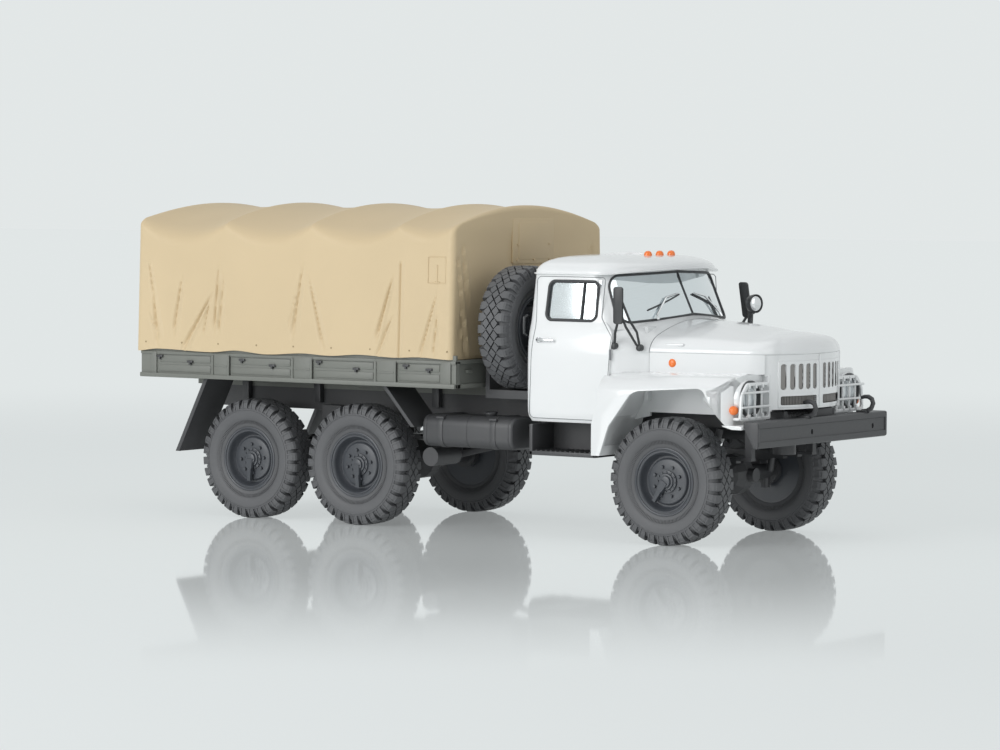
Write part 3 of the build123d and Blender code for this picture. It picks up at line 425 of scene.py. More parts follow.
def finish_material(name, colour, roughness, metallic=0.0, coat=0.0, grain=0.0, mottle=0.0, mottle_size=60.0,
                    transmission=0.0):
    """Procedural finish: a colour with a slow mottle, and a fine grain in the surface."""
    material = bpy.data.materials.new(name)
    material.use_nodes = True
    tree = material.node_tree
    shader = tree.nodes["Principled BSDF"]
    for key, value in (
        ("Base Color", (*colour, 1)), ("Roughness", roughness), ("Metallic", metallic), ("Coat Weight", coat),
        ("Coat Roughness", COAT_ROUGHNESS), ("Transmission Weight", transmission),
    ):
        shader.inputs[key].default_value = value
    place = add_node(tree, "TexCoord").outputs["Object"]
    if mottle:
        cloud = add_node(tree, "TexNoise", {"Vector": place, "Scale": mottle_size, "Detail": 3})
        shades = {"Value": cloud.outputs["Fac"], "To Min": 1 - mottle, "To Max": 1 + mottle}
        ramp = add_node(tree, "MapRange", shades)
        scaled = add_node(tree, "VectorMath", {0: colour, "Scale": ramp.outputs["Result"]}, operation="SCALE")
        tree.links.new(scaled.outputs[0], shader.inputs["Base Color"])
    if grain:
        speck = add_node(tree, "TexNoise", {"Vector": place, "Scale": GRAIN_SIZE, "Detail": 2})
        relief = {"Height": speck.outputs["Fac"], "Strength": grain, "Distance": GRAIN_HEIGHT}
        bump = add_node(tree, "Bump", relief)
        tree.links.new(bump.outputs["Normal"], shader.inputs["Normal"])
    return material


rubber = finish_material("rubber", (0.092, 0.094, 0.099), 0.55, grain=0.10, mottle=0.10, mottle_size=120)
wheel_paint = finish_material("wheel_paint", (0.052, 0.057, 0.066), 0.36, grain=0.05)
white_paint = finish_material("white_paint", (0.76, 0.775, 0.78), 0.25, coat=0.6)
chassis_plastic = finish_material("chassis_plastic", (0.050, 0.051, 0.054), 0.45, grain=0.10, mottle=0.08)
bed_plastic = finish_material("bed_plastic", (0.165, 0.172, 0.155), 0.50, grain=0.10, mottle=0.06)
tarp_plastic = finish_material("tarp_plastic", (0.60, 0.475, 0.295), 0.55, grain=0.10, mottle=0.05)
cab_trim = finish_material("cab_trim", (0.18, 0.18, 0.185), 0.6)
dark_trim = finish_material("dark_trim", (0.030, 0.032, 0.034), 0.40)
steel_pin = finish_material("steel_pin", (0.6, 0.6, 0.6), 0.25, metallic=1.0)
bright_metal = finish_material("bright_metal", (0.75, 0.76, 0.77), 0.18, metallic=1.0)
orange_lens = finish_material("orange_lens", (0.88, 0.19, 0.02), 0.3, coat=0.4)
red_lens = finish_material("red_lens", (0.5, 0.01, 0.01), 0.25, coat=0.6)
lamp_lens = finish_material("lamp_lens", (0.72, 0.76, 0.78), 0.08, metallic=0.4, coat=1.0)
clear_glass = finish_material("clear_glass", (0.80, 0.85, 0.87), 0.04, metallic=0.82, transmission=0.5)
# Painted shadow: the darker tan of the tarpaulin's eyelets
tarp_shadow = finish_material("tarp_shadow", (0.30, 0.22, 0.12), 0.6)
# Painted shade: the grey seen inside the grille's slots
grille_shade = finish_material("grille_shade", (0.27, 0.26, 0.25), 0.7)
rubber_seal = finish_material("rubber_seal", (0.035, 0.037, 0.040), 0.5)
seam_shade = finish_material("seam_shade", (0.20, 0.21, 0.22), 0.6)

SLOT_FINISHES = {
    "tyre": rubber, "wheel_paint": wheel_paint, "steel_pin": steel_pin, "white_paint": white_paint,
    "clear_glass": clear_glass, "cab_trim": cab_trim, "dark_trim": dark_trim, "orange_lens": orange_lens,
    "red_lens": red_lens, "lamp_lens": lamp_lens, "bed_plastic": bed_plastic, "tarp_plastic": tarp_plastic,
    "chassis_plastic": chassis_plastic,
}


def dress_nodes():
    """Gives each CAD node the finish of its slot."""
    for name, node in frame["nodes"].items():
        for slot in node.material_slots:
            key = slot.material.name.split(".")[0] if slot.material else ""
            if key in SLOT_FINISHES:
                slot.material = SLOT_FINISHES[key]


def finish(piece, body, slot, *nodes, look=None):
    """Sets a piece's body and finish, the finish of its slot or another look, and hides the CAD nodes that it stands
    for.
    """
    piece.data.materials.clear()
    piece.data.materials.append(look or SLOT_FINISHES[slot])
    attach(piece, body)
    if nodes:
        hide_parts(*nodes)
    return piece


def dress(name, parts, angle, slot, *nodes, look=None):
    """Joins parts of the truck's body into one finished piece."""
    return finish(smooth(join(name, parts), angle), "root", slot, *nodes, look=look)


def dress_pair(name, parts, angle, slot, *nodes, look=None):
    """One finished piece from the parts of the left side and their mirror image."""
    return finish(smooth(pair(name, join(name, parts)), angle), "root", slot, *nodes, look=look)


def dress_sides(name, parts, angle, slot):
    """Two finished pieces, of the left side and of its mirror image, for the nodes of the same names."""
    left = join("look_" + name + "_left", parts)
    right = mirrored(left, "look_" + name + "_right")
    finish(smooth(left, angle), "root", slot, name + "_left")
    finish(smooth(right, angle), "root", slot, name + "_right")
# Wheels, about the Y axis with the outer side towards +Y

LUG_COUNT = 32
LUG_PITCH = 2 * math.pi / LUG_COUNT
# Carcass from the tread's middle to the bead, as (y, radius)
CARCASS = (
    (0.0, 12.35), (1.6, 12.3), (2.6, 12.15), (3.1, 11.85), (3.38, 11.4), (3.48, 11.1), (3.68, 11.0),
    (3.74, 10.78), (3.66, 10.72), (3.66, 10.62), (3.75, 10.55), (3.76, 9.9), (3.66, 9.2), (3.48, 8.6),
    (3.40, 8.5), (3.36, 8.4), (3.22, 7.7), (3.16, 7.62), (3.10, 7.2), (2.95, 7.0),
)
# Shoulder lug: share of its length, floor (y, radius) and top (y, radius)
LUG_RUN = (
    (0.0, (1.75, 12.2), (1.8, 13.06)),
    (0.35, (2.6, 12.1), (2.75, 13.0)),
    (0.5, (3.05, 11.8), (3.2, 12.75)),
    (0.7, (3.3, 11.5), (3.55, 12.15)),
    (1.0, (3.4, 11.0), (3.74, 11.0)),
)


def polar(y, r, angle):
    return Vector((r * math.cos(angle), y, r * math.sin(angle)))


class Pile:
    """Points and faces of many small solids, gathered into one mesh."""

    def __init__(self):
        self.points = []
        self.faces = []

    def hexahedron(self, low, high):
        """Solid between a lower and an upper ring of corners."""
        start = len(self.points)
        count = len(low)
        self.points += list(low) + list(high)
        self.faces.append([start + i for i in range(count)])
        self.faces.append([start + count + i for i in reversed(range(count))])
        for i in range(count):
            j = (i + 1) % count
            self.faces.append([start + i, start + count + i, start + count + j, start + j])

    def mesh(self, name):
        mesh = bpy.data.meshes.new(name)
        mesh.from_pydata([p * MM for p in self.points], [], self.faces)
        return heal(mesh)


def revolved_mesh(name, profile, sides, close=False):
    """Mesh of a profile of (y, radius) turned about the Y axis."""
    points, faces = [], []
    for y, r in profile:
        for side in range(sides):
            points.append(polar(y, r, 2 * math.pi * side / sides) * MM)
    rows = len(profile)
    for row in range(rows if close else rows - 1):
        for side in range(sides):
            other = (side + 1) % sides
            low, high = row * sides, ((row + 1) % rows) * sides
            faces.append([low + side, high + side, high + other, low + other])
    if not close:
        for row, ends in ((0, profile[0]), (rows - 1, profile[-1])):
            if ends[1] > 0.001:
                faces.append([row * sides + side for side in range(sides)])
    mesh = bpy.data.meshes.new(name)
    mesh.from_pydata(points, [], faces)
    return heal(mesh, WELD)


def merged(name, meshes):
    """One smooth mesh from several, which then no longer exist."""
    bm = bmesh.new()
    for mesh in meshes:
        bm.from_mesh(mesh)
    soften(bm, 35)
    whole = bpy.data.meshes.new(name)
    bm.to_mesh(whole)
    bm.free()
    for mesh in meshes:
        bpy.data.meshes.remove(mesh)
    return whole


def lug_strip(pile, side, middle, left, right, start, end, sink):
    """Part of a shoulder lug between two angles and two shares of its run, sunk below the top."""
    run = [row for row in LUG_RUN if start <= row[0] <= end]
    for low_row, high_row in zip(run, run[1:]):
        rings = []
        for level in (1, 2):
            ring = []
            for row, edge in ((low_row, left), (low_row, right), (high_row, right), (high_row, left)):
                y, r = row[level]
                if level == 2:
                    y -= sink * row[0]
                    r -= sink * (1 - row[0])
                ring.append(polar(side * y, r, middle + edge))
            rings.append(ring)
        pile.hexahedron(*rings)


def tread_block(pile, angle, y, half_angle, half_y):
    """Rhombic block of the tread's middle."""
    rings = []
    for r, shrink in ((12.2, 1.0), (13.08, 0.93)):
        rings.append([
            polar(y - half_y * shrink, r, angle),
            polar(y, r, angle + half_angle * shrink),
            polar(y + half_y * shrink, r, angle),
            polar(y, r, angle - half_angle * shrink),
        ])
    pile.hexahedron(*rings)


def lug_tip(pile, side, angle, half_angle):
    """Pointed end of a shoulder lug on the tread."""
    rings = []
    for r, shrink in ((12.2, 1.0), (13.06, 0.95)):
        y = 1.8
        rings.append([
            polar(side * y, r, angle - half_angle * shrink),
            polar(side * y, r, angle + half_angle * shrink),
            polar(side * (y - 0.95 * shrink), r, angle),
        ])
    pile.hexahedron(*rings)


def shoulder_lug(pile, side, middle):
    """Lug with two legs and a sunk web between them, joined by a head that points to the tread's middle."""
    edge, leg = LUG_PITCH * 0.33, LUG_PITCH * 0.14
    for left, right, start, end, sink in (
        (-edge, leg - edge, 0.35, 1.0, 0), (edge - leg, edge, 0.35, 1.0, 0),
        (leg - edge, edge - leg, 0.5, 1.0, 0.16),
        (-edge, edge, 0.0, 0.35, 0), (leg - edge, edge - leg, 0.35, 0.5, 0),
    ):
        lug_strip(pile, side, middle, left, right, start, end, sink)
    lug_tip(pile, side, middle, edge)


TYRE_SIDES = 192
BLOCK_HALF = 0.9
BLOCK_Y = 1.02
# Fine ribs over the bead: inner and outer end as (y, radius), and how far they sink in and stand out
RIB_COUNT = 150
RIB_ENDS = ((3.28, 7.75), (3.46, 8.42))
RIB_LIFTS = (-0.05, 0.07)


def bead_ribs():
    ribs = Pile()
    (y0, r0), (y1, r1) = RIB_ENDS
    half = math.pi / RIB_COUNT * 0.5
    for rib in range(RIB_COUNT):
        angle = 2 * math.pi * rib / RIB_COUNT
        for side in (1, -1):
            rings = []
            for lift in RIB_LIFTS:
                low, high = side * (y0 + lift), side * (y1 + lift)
                rings.append([polar(low, r0, angle - half), polar(low, r0, angle + half),
                              polar(high, r1, angle + half), polar(high, r1, angle - half)])
            ribs.hexahedron(*rings)
    return ribs.mesh("ribs")


def tyre_mesh():
    profile = [(-y, r) for y, r in reversed(CARCASS)] + list(CARCASS[1:])
    inside = [(2.7, 7.0), (-2.7, 7.0)]
    carcass = revolved_mesh("carcass", profile + inside, TYRE_SIDES, close=True)
    pile = Pile()
    half_angle = LUG_PITCH * 0.44
    for lug in range(LUG_COUNT):
        middle = lug * LUG_PITCH
        for side in (1, -1):
            shoulder_lug(pile, side, middle)
            tread_block(pile, middle + LUG_PITCH / 2, side * BLOCK_Y, half_angle, BLOCK_HALF)
        tread_block(pile, middle, 0, half_angle, BLOCK_HALF)
    return merged("tyre", [carcass, pile.mesh("lugs"), bead_ribs()])


# Rim, dish and disc, from the outer lip inwards, as (y, radius)
RIM_PROFILE = (
    (2.9, 7.05), (3.12, 7.0), (3.18, 6.8), (3.1, 6.6), (2.9, 6.5), (2.88, 6.35), (3.0, 6.25), (3.02, 6.05),
    (2.85, 5.9), (2.4, 5.75), (1.9, 5.6), (1.5, 5.4), (1.25, 5.2), (1.25, 4.85), (1.45, 4.75), (1.65, 4.6),
    (1.75, 4.4), (1.75, 2.4),
)
RIM_SIDES = 96
NUT_COUNT, NUT_CIRCLE = 8, 3.15
HUB_BOLT_COUNT, HUB_BOLT_CIRCLE = 12, 2.0
# Direction of the cover over the air line, from the hub's middle
COVER_ANGLE = 238


def bolt_ring(pile, count, circle, y0, y1, radius, turn=0.0):
    """Six-sided heads round the axle."""
    for index in range(count):
        angle = 2 * math.pi * index / count + turn
        cx, cz = circle * math.cos(angle), circle * math.sin(angle)
        rings = []
        for y, r in ((y0, radius), (y1, radius * 0.85)):
            turns = [math.pi / 3 * corner + angle for corner in range(6)]
            rings.append([Vector((cx + r * math.cos(a), y, cz + r * math.sin(a))) for a in turns])
        pile.hexahedron(*rings)


def disc_mesh():
    """Rim with its dish, disc with nuts, hub with its ring of bolts and the cover of the air line."""
    back = ((1.75, 1.0), (-2.9, 1.0), (-2.9, 7.0))
    rim = revolved_mesh("rim", list(RIM_PROFILE) + list(back), 96, close=True)
    hub = revolved_mesh("hub", [(1.6, 2.3), (2.05, 2.3), (2.1, 2.2), (2.1, 1.75), (2.4, 1.65), (2.45, 1.5),
                                (2.45, 1.25), (2.8, 1.15), (2.9, 0.9), (2.9, 0.0)], 48)
    pile = Pile()
    bolt_ring(pile, NUT_COUNT, NUT_CIRCLE, 1.7, 2.2, 0.4, turn=math.pi / NUT_COUNT)
    bolt_ring(pile, HUB_BOLT_COUNT, HUB_BOLT_CIRCLE, 2.0, 2.3, 0.22)
    # Cover of the air line, from the hub's middle down and back to the rim
    lean = math.radians(COVER_ANGLE)
    out = Vector((math.cos(lean), 0, math.sin(lean)))
    across = Vector((-math.sin(lean), 0, math.cos(lean)))
    for start, end, y0, y1, wide0, wide1, low in (
        (0.0, 2.2, 3.1, 3.0, 0.95, 0.75, 2.6), (2.2, 4.9, 3.0, 2.75, 0.6, 0.5, 2.2),
    ):
        rings = []
        for lift in (0, 1):
            ring = []
            for reach, y, wide in ((start, y0, wide0), (end, y1, wide1)):
                level = y if lift else low
                ring.append((out * reach + across * wide * (0.8 if lift else 1), level))
                ring.append((out * reach - across * wide * (0.8 if lift else 1), level))
            order = (ring[0], ring[1], ring[3], ring[2])
            rings.append([p + Vector((0, level, 0)) for p, level in order])
        pile.hexahedron(*rings)
    return merged("disc", [rim, hub, pile.mesh("bolts")])


def placed_copy(mesh, name, turn_side, place, yaw=0.0, spin=0.0):
    """Copy of a wheel mesh: spun about its axle, mirrored for the right side, turned and set in place."""
    copy = mesh.copy()
    copy.transform(Matrix.Rotation(spin, 4, "Y"))
    if turn_side < 0:
        copy.transform(Matrix.Scale(-1, 4, (0, 1, 0)))
        copy.flip_normals()
    copy.transform(Matrix.Translation(place) @ Matrix.Rotation(yaw, 4, "Z"))
    return add_object(name, copy)


SPARE_PLACE = (-40.6, -14.9, 43.15)
# Degrees by which each row's wheels are turned about their axle
WHEEL_SPIN = {"front": 2.0, "middle": -34.0, "rear": -27.0}


def make_wheels():
    kinds = (("tyre", tyre_mesh(), "tyre"), ("disc", disc_mesh(), "wheel_paint"))
    for row, axle_x in (("front", 0.0), ("middle", MIDDLE_X), ("rear", REAR_X)):
        spin = math.radians(WHEEL_SPIN[row])
        for side_name, side in (("left", 1), ("right", -1)):
            place = at(axle_x, side * WHEEL_Y, AXLE_Z)
            wheel = row + "_" + side_name
            for kind, mesh, slot in kinds:
                piece = placed_copy(mesh, "look_" + kind + "_" + wheel, side, place, spin=spin)
                finish(piece, "wheel_" + wheel, slot, kind + "_" + wheel)
    for kind, mesh, slot in kinds:
        piece = placed_copy(mesh, "look_spare_" + kind, 1, at(*SPARE_PLACE), yaw=math.radians(-90))
        finish(piece, "root", slot, "spare_" + kind)
        bpy.data.meshes.remove(mesh)
# Tarpaulin, moulded as cloth that sags between its bows

TARP_REAR, TARP_FRONT = -135.1, -49.5
TARP_HALF_LOW, TARP_HALF_TOP = 29.2, 28.3
TARP_EAVE, TARP_RIDGE = 63.6, 69.0
TARP_BOWS = (TARP_REAR, -110.5, -87.0, -63.6, TARP_FRONT)
TARP_CORNER = 1.3
# Hem height along the side, as (x, z)
HEM = (
    (-135.1, 36.15), (-128.5, 36.75), (-114.0, 36.35), (-107.0, 36.9), (-98.5, 36.3), (-88.5, 36.8),
    (-81.5, 36.5), (-73.5, 36.95), (-64.0, 36.6), (-58.0, 36.85), (-49.5, 36.5),
)
# Folds in the side: upper and lower end as (x, z), width there, and depth
SIDE_FOLDS = (
    ((-131.9, 56.0), (-130.5, 48.8), 0.25, 0.45, 0.30), ((-130.5, 48.8), (-129.0, 39.0), 0.45, 0.85, 0.42),
    ((-131.4, 44.6), (-128.8, 37.2), 0.3, 0.5, 0.20), ((-122.5, 52.6), (-124.6, 40.2), 0.3, 0.75, 0.38),
    ((-112.2, 55.0), (-113.1, 41.0), 0.3, 0.6, 0.40), ((-110.6, 53.6), (-111.8, 40.6), 0.25, 0.5, 0.22),
    ((-114.0, 49.0), (-121.8, 36.8), 0.3, 0.85, 0.48), ((-114.4, 47.6), (-116.2, 40.2), 0.25, 0.45, 0.25),
    ((-89.1, 55.8), (-91.6, 40.4), 0.35, 0.8, 0.34), ((-90.6, 50.6), (-92.8, 42.0), 0.25, 0.5, 0.16),
    ((-87.3, 53.0), (-83.2, 38.4), 0.25, 0.65, 0.36), ((-65.1, 53.6), (-69.2, 40.4), 0.3, 0.8, 0.48),
    ((-64.9, 45.6), (-69.0, 36.6), 0.25, 0.6, 0.30), ((-53.5, 50.6), (-57.8, 36.8), 0.25, 0.7, 0.34),
    ((-53.4, 46.0), (-54.2, 37.6), 0.25, 0.45, 0.28),
)
# Folds in the front and rear walls, by distance of each end from the nearer side edge
END_FOLDS = (
    ((1.0, 61.0), (3.2, 48.0), 0.35, 0.6, 0.30), ((3.2, 48.0), (4.8, 36.8), 0.6, 0.9, 0.42),
    ((3.4, 62.0), (5.4, 48.0), 0.35, 0.8, 0.34), ((2.4, 45.0), (3.0, 37.0), 0.3, 0.5, 0.22),
)
# Sewn seam of the side: its place, the height at which it ends, and its depth
SEAM_X = -63.1
SEAM_TOP = 57.2
SEAM_DEPTH = 0.5
FOLD_DEPTH = 1.6
CLOTH = 0.45
# Spans of the mesh up the side, over the eave, to the ridge, across an end and along the length
SIDE_STEPS, CORNER_STEPS, ROOF_STEPS, END_STEPS = 84, 10, 12, 84
LENGTH_STEPS = 270


def between(rows, value):
    """Soft interpolation between rows of (place, value)."""
    for (x0, v0), (x1, v1) in zip(rows, rows[1:]):
        if value <= x1:
            share = smoothstep(0, 1, (value - x0) / (x1 - x0))
            return v0 + (v1 - v0) * share
    return rows[-1][1]


def fold_depth(a, z, folds):
    """How far folds press the cloth in at a place given by (along the wall, height)."""
    depth = 0.0
    for (a0, z0), (a1, z1), wide0, wide1, deep in folds:
        run_a, run_z = a1 - a0, z1 - z0
        length = math.hypot(run_a, run_z)
        along = ((a - a0) * run_a + (z - z0) * run_z) / length
        share = along / length
        if not -0.15 < share < 1.15:
            continue
        off = ((a - a0) * run_z - (z - z0) * run_a) / length
        wide = wide0 + (wide1 - wide0) * share
        if abs(off) > wide * 4:
            continue
        ends = smoothstep(-0.12, 0.3, share) * (1 - smoothstep(0.8, 1.12, share))
        groove = math.exp(-(off / (wide * 0.6)) ** 2)
        lip = math.exp(-((off + wide * 1.2) / (wide * 0.8)) ** 2)
        depth += FOLD_DEPTH * deep * ends * (groove - 0.5 * lip)
    return depth


def bow_sag(x):
    """0 on a bow, 1 half way between two."""
    for x0, x1 in zip(TARP_BOWS, TARP_BOWS[1:]):
        if x <= x1:
            share = min(max((x - x0) / (x1 - x0), 0), 1)
            width = min((x1 - x0) / 24.0, 1.0)
            return (1 - abs(2 * share - 1) ** 2.0) * width
    return 0.0


def tarp_half(x, inset):
    """Right-hand half of the section at x, from hem to ridge, as (y, z), and the wall's share."""
    sag = bow_sag(x)
    rear = 1 - smoothstep(TARP_REAR, TARP_REAR + 7, x)
    eave = TARP_EAVE + 0.9 - 2.7 * sag + 0.7 * rear
    ridge = TARP_RIDGE - 1.1 * sag - inset
    soft = 1.2 + 1.5 * sag
    top = TARP_HALF_TOP - inset
    low = TARP_HALF_LOW - inset
    hem = between(HEM, x)
    rows = []
    side_top = eave - soft
    for step in range(SIDE_STEPS + 1):
        share = step / SIDE_STEPS
        z = hem + (side_top - hem) * share
        y = low + (top - low) * share
        rows.append((y, z))
    shoulder_y = top - soft * 1.6
    slope_z = (ridge - eave) * (1 - (shoulder_y / top) ** 2) + eave
    for step in range(1, CORNER_STEPS + 1):
        t = step / CORNER_STEPS
        a, b, c = (1 - t) ** 2, 2 * t * (1 - t), t * t
        y = a * top + b * top + c * shoulder_y
        z = a * side_top + b * (eave - inset * 0.6) + c * slope_z
        rows.append((y, z))
    for step in range(1, ROOF_STEPS + 1):
        y = shoulder_y * (1 - step / ROOF_STEPS)
        z = eave + (ridge - eave) * (1 - (y / top) ** 2)
        rows.append((y, z))
    return rows


def tarp_stations():
    """Places along the length, with how far the section is drawn in there to round the ends."""
    turns = 5
    rows = [(TARP_REAR + TARP_CORNER * (1 - math.cos(math.pi / 2 * s / turns)),
             TARP_CORNER * (1 - math.sin(math.pi / 2 * s / turns))) for s in range(turns)]
    start, end = TARP_REAR + TARP_CORNER, TARP_FRONT - TARP_CORNER
    rows += [(start + (end - start) * s / LENGTH_STEPS, 0.0) for s in range(LENGTH_STEPS + 1)]
    rows += [(TARP_FRONT + TARP_REAR - x, inset) for x, inset in reversed(rows[:turns])]
    return rows


def side_press(x, y, z, side):
    """How far the side's cloth is pressed in at a place, by folds, the seam and slow unevenness."""
    if z >= TARP_EAVE - 3:
        return 0.0
    seam = math.exp(-((x - SEAM_X) / 0.22) ** 2) - 0.5 * math.exp(-((x - SEAM_X - 0.45) / 0.3) ** 2)
    press = fold_depth(x, z, SIDE_FOLDS)
    press += SEAM_DEPTH * seam * (1 - smoothstep(SEAM_TOP - 1, SEAM_TOP, z))
    press *= smoothstep(0, 1.0, (y - 20) / 8)
    return press + 0.05 * noise(Vector((x * 0.11, z * 0.09, side * 5.0)))


def make_tarpaulin():
    points, faces = [], []
    sections = []
    for x, inset in tarp_stations():
        half = tarp_half(x, inset)
        ring = []
        for side in (-1, 1):
            run = half if side < 0 else list(reversed(half))[1:]
            for y, z in run:
                ring.append(len(points))
                points.append((x, side * (y - side_press(x, y, z, side)), z))
        sections.append(ring)
    for ring, after in zip(sections, sections[1:]):
        for i in range(len(ring) - 1):
            faces.append([ring[i], ring[i + 1], after[i + 1], after[i]])
    for ring, x, outward in ((sections[0], TARP_REAR, -1), (sections[-1], TARP_FRONT, 1)):
        half_count = len(ring) // 2
        rows = []
        for i in range(half_count):
            left, right = ring[i], ring[-1 - i]
            y, z = points[left][1], points[left][2]
            row = [left]
            for step in range(1, END_STEPS):
                across = y + (points[right][1] - y) * step / END_STEPS
                near = TARP_HALF_TOP - abs(across)
                press = fold_depth(near, z, END_FOLDS) * (1 - smoothstep(14, 20, near))
                press += 0.35 * (1 - math.exp(-near / 3.0)) * (1 - smoothstep(60, 65, z))
                row.append(len(points))
                points.append((x - outward * press, across, z))
            row.append(right)
            rows.append(row)
        for row, after in zip(rows, rows[1:]):
            for j in range(END_STEPS):
                faces.append([row[j], row[j + 1], after[j + 1], after[j]])
        ridge = ring[half_count]
        for j in range(END_STEPS):
            faces.append([rows[-1][j], rows[-1][j + 1], ridge])
    shell = make_mesh("look_tarpaulin", points, faces)
    rim = shell.modifiers.new("rim", "SOLIDIFY")
    rim.thickness = CLOTH * MM
    rim.offset = -1
    rim.use_rim = True
    rim.use_rim_only = True
    finish(smooth(apply_modifiers(shell), 60), "root", "tarp_plastic", "tarpaulin")
    make_tarp_details()


def tarp_wall(z):
    """Half width of the side between two bows."""
    return TARP_HALF_LOW + (TARP_HALF_TOP - TARP_HALF_LOW) * (z - 36.7) / 24.5


# Flap on the front wall, as (y, z) of its outer and inner panel, and its buttons
FLAP = ((-6.6, 56.3), (9.2, 56.3), (9.2, 66.0), (-6.6, 66.0))
FLAP_PANEL = ((-4.4, 57.2), (7.0, 57.2), (7.0, 65.2), (-4.4, 65.2))
BUTTONS = ((-4.6, 60.4), (7.3, 60.4), (-4.9, 57.1), (1.4, 57.1), (7.4, 57.1))
SIDE_FLAP = ((-55.9, 52.5), (-51.4, 52.5), (-51.4, 58.0), (-55.9, 58.0))
STRAP_X = -53.55
BUCKLE_Z = 52.7
EYELETS_X = (-132.2, -122.0, -111.8, -101.2, -91.1, -80.9, -70.6, -60.3, -50.6)
EYELET_Z = 38.2


def make_tarp_details():
    """Window flap on the front wall, small flap with its strap on the sides, eyelets along the hem."""
    front = TARP_FRONT - 0.35
    flap = prism("flap", rounded_outline(FLAP, 0.5), front, front + 0.42, "x")
    panel = prism("panel", rounded_outline(FLAP_PANEL, 0.4), front + 0.3, front + 0.54, "x")
    parts = [bevel(flap, 0.12), bevel(panel, 0.1)]
    for y, z in BUTTONS:
        parts.append(box("button", front + 0.4, front + 0.68, y - 0.35, y + 0.35, z - 0.18, z + 0.18))
    for side in (1, -1):
        edge = [(x, side * (tarp_wall(z) + 0.03), z) for x, z in dense_loop(list(SIDE_FLAP), 1.0)]
        parts.append(tube("edge", edge, 0.11, 6, closed=True))
        strap = [(STRAP_X, side * (tarp_wall(z) + 0.02), z) for z in (56.3, 54.3, 52.3)]
        parts.append(tube("strap", strap, 0.16, 6))
        buckle_y = side * (tarp_wall(BUCKLE_Z) + 0.05)
        parts.append(tube("buckle", [(-54.1, buckle_y, BUCKLE_Z), (-53.0, buckle_y, BUCKLE_Z)], 0.17, 6))
    dress("look_tarp_flaps", parts, 40, "tarp_plastic")
    # The eyelets are small discs in the darker tan of painted shadow
    eyelets = []
    wall = TARP_HALF_LOW - 0.04
    for x in EYELETS_X:
        for side in (1, -1):
            ends = [(x, side * (wall - 0.3), EYELET_Z), (x, side * (wall + 0.04), EYELET_Z)]
            eyelets.append(tube("eyelet", ends, 0.2, 10))
    dress("look_eyelets", eyelets, 40, "tarp_plastic", look=tarp_shadow)


# Bodywork, in truck millimetres

CREASE_Z = 39.3
PANEL_BOTTOM = 35.1
CREASE_STEP = 0.14
HOOD_REAR = -6.4
NOSE_SEAM = 18.0
NOSE_BOTTOM = 27.9
# Body from the windscreen to the front: x, half width at the crease, height of the crown, and height of the
# shoulder over the crease
BODY_ROWS = (
    (-17.0, 24.2, 47.9, 4.6), (-13.2, 23.75, 47.3, 3.5), (-10.0, 22.0, 47.0, 2.8), (-6.4, 19.8, 45.5, 1.9),
    (0.0, 18.9, 45.1, 1.8), (7.0, 18.0, 44.45, 1.8), (14.0, 16.9, 43.35, 1.7),
)
SPINE_X = 14.0
SHOULDER_WIDTH = 3.4
FRONT_SHOULDER = 2.3
CROWN_STEPS = 26


def curve(rows, x, column):
    """Smooth line through one column of rows of rising x."""
    count = len(rows)
    index = 0
    while index < count - 2 and x > rows[index + 1][0]:
        index += 1
    low, high = rows[index], rows[index + 1]
    span = high[0] - low[0]

    def slope(i):
        a, b = rows[max(i - 1, 0)], rows[min(i + 1, count - 1)]
        return (b[column] - a[column]) / (b[0] - a[0]) * span

    t = min(max((x - low[0]) / span, 0.0), 1.0)
    t2, t3 = t * t, t * t * t
    value = (2 * t3 - 3 * t2 + 1) * low[column] + (t3 - 2 * t2 + t) * slope(index)
    return value + (3 * t2 - 2 * t3) * high[column] + (t3 - t2) * slope(index + 1)


def arc(start, middle, end, steps):
    """Points of the circle through three 2-D points, without the first."""
    (ax, ay), (bx, by), (cx, cy) = start, middle, end
    d = 2 * (ax * (by - cy) + bx * (cy - ay) + cx * (ay - by))
    a2, b2, c2 = ax * ax + ay * ay, bx * bx + by * by, cx * cx + cy * cy
    ux = (a2 * (by - cy) + b2 * (cy - ay) + c2 * (ay - by)) / d
    uy = (a2 * (cx - bx) + b2 * (ax - cx) + c2 * (bx - ax)) / d
    radius = math.hypot(ax - ux, ay - uy)
    first = math.atan2(ay - uy, ax - ux)
    turn = (math.atan2(cy - uy, cx - ux) - first) % (2 * math.pi)
    if (math.atan2(by - uy, bx - ux) - first) % (2 * math.pi) > turn:
        turn -= 2 * math.pi
    return [(ux + radius * math.cos(first + turn * s / steps), uy + radius * math.sin(first + turn * s / steps))
            for s in range(1, steps + 1)]


def front_outline(inset=0.0, steps=12):
    """Plan of the front end's left half, from the end of the straight side to the middle."""
    side = (15.5 - inset * 0.3, 16.62 - inset)
    corner = (19.75 - inset, 12.1 - inset * 0.4)
    points = [side]
    points += arc(side, (18.35 - inset * 0.8, 14.9 - inset * 0.7), corner, steps)
    points += arc(corner, (21.66 - inset, 6.4), (22.3 - inset, 0.0), steps + 4)
    return points


def body_outline(start, inset=0.0):
    """Plan at the crease of the left half, from x = start to the front's middle."""
    spans = max(int((SPINE_X - start) / 0.7), 2)
    xs = [start + (SPINE_X - start) * s / spans for s in range(spans + 1)]
    return [(x, curve(BODY_ROWS, x, 1) - inset) for x in xs] + front_outline(inset)


def surface(name, rows):
    """Open skin from rows of points, all of one length."""
    width = len(rows[0])
    faces = []
    for row in range(len(rows) - 1):
        for i in range(width - 1):
            a = row * width + i
            faces.append([a, a + 1, a + width + 1, a + width])
    return make_mesh(name, [p for row in rows for p in row], faces)


def both_halves(name, half):
    """A left half and its mirror image, welded along the middle."""
    whole = pair(name, half)
    heal(whole.data, SEAM_WELD)
    return whole


def pair(name, half):
    """A left piece and its mirror image on the right."""
    return join(name, [half, mirrored(half, name + "_right")])


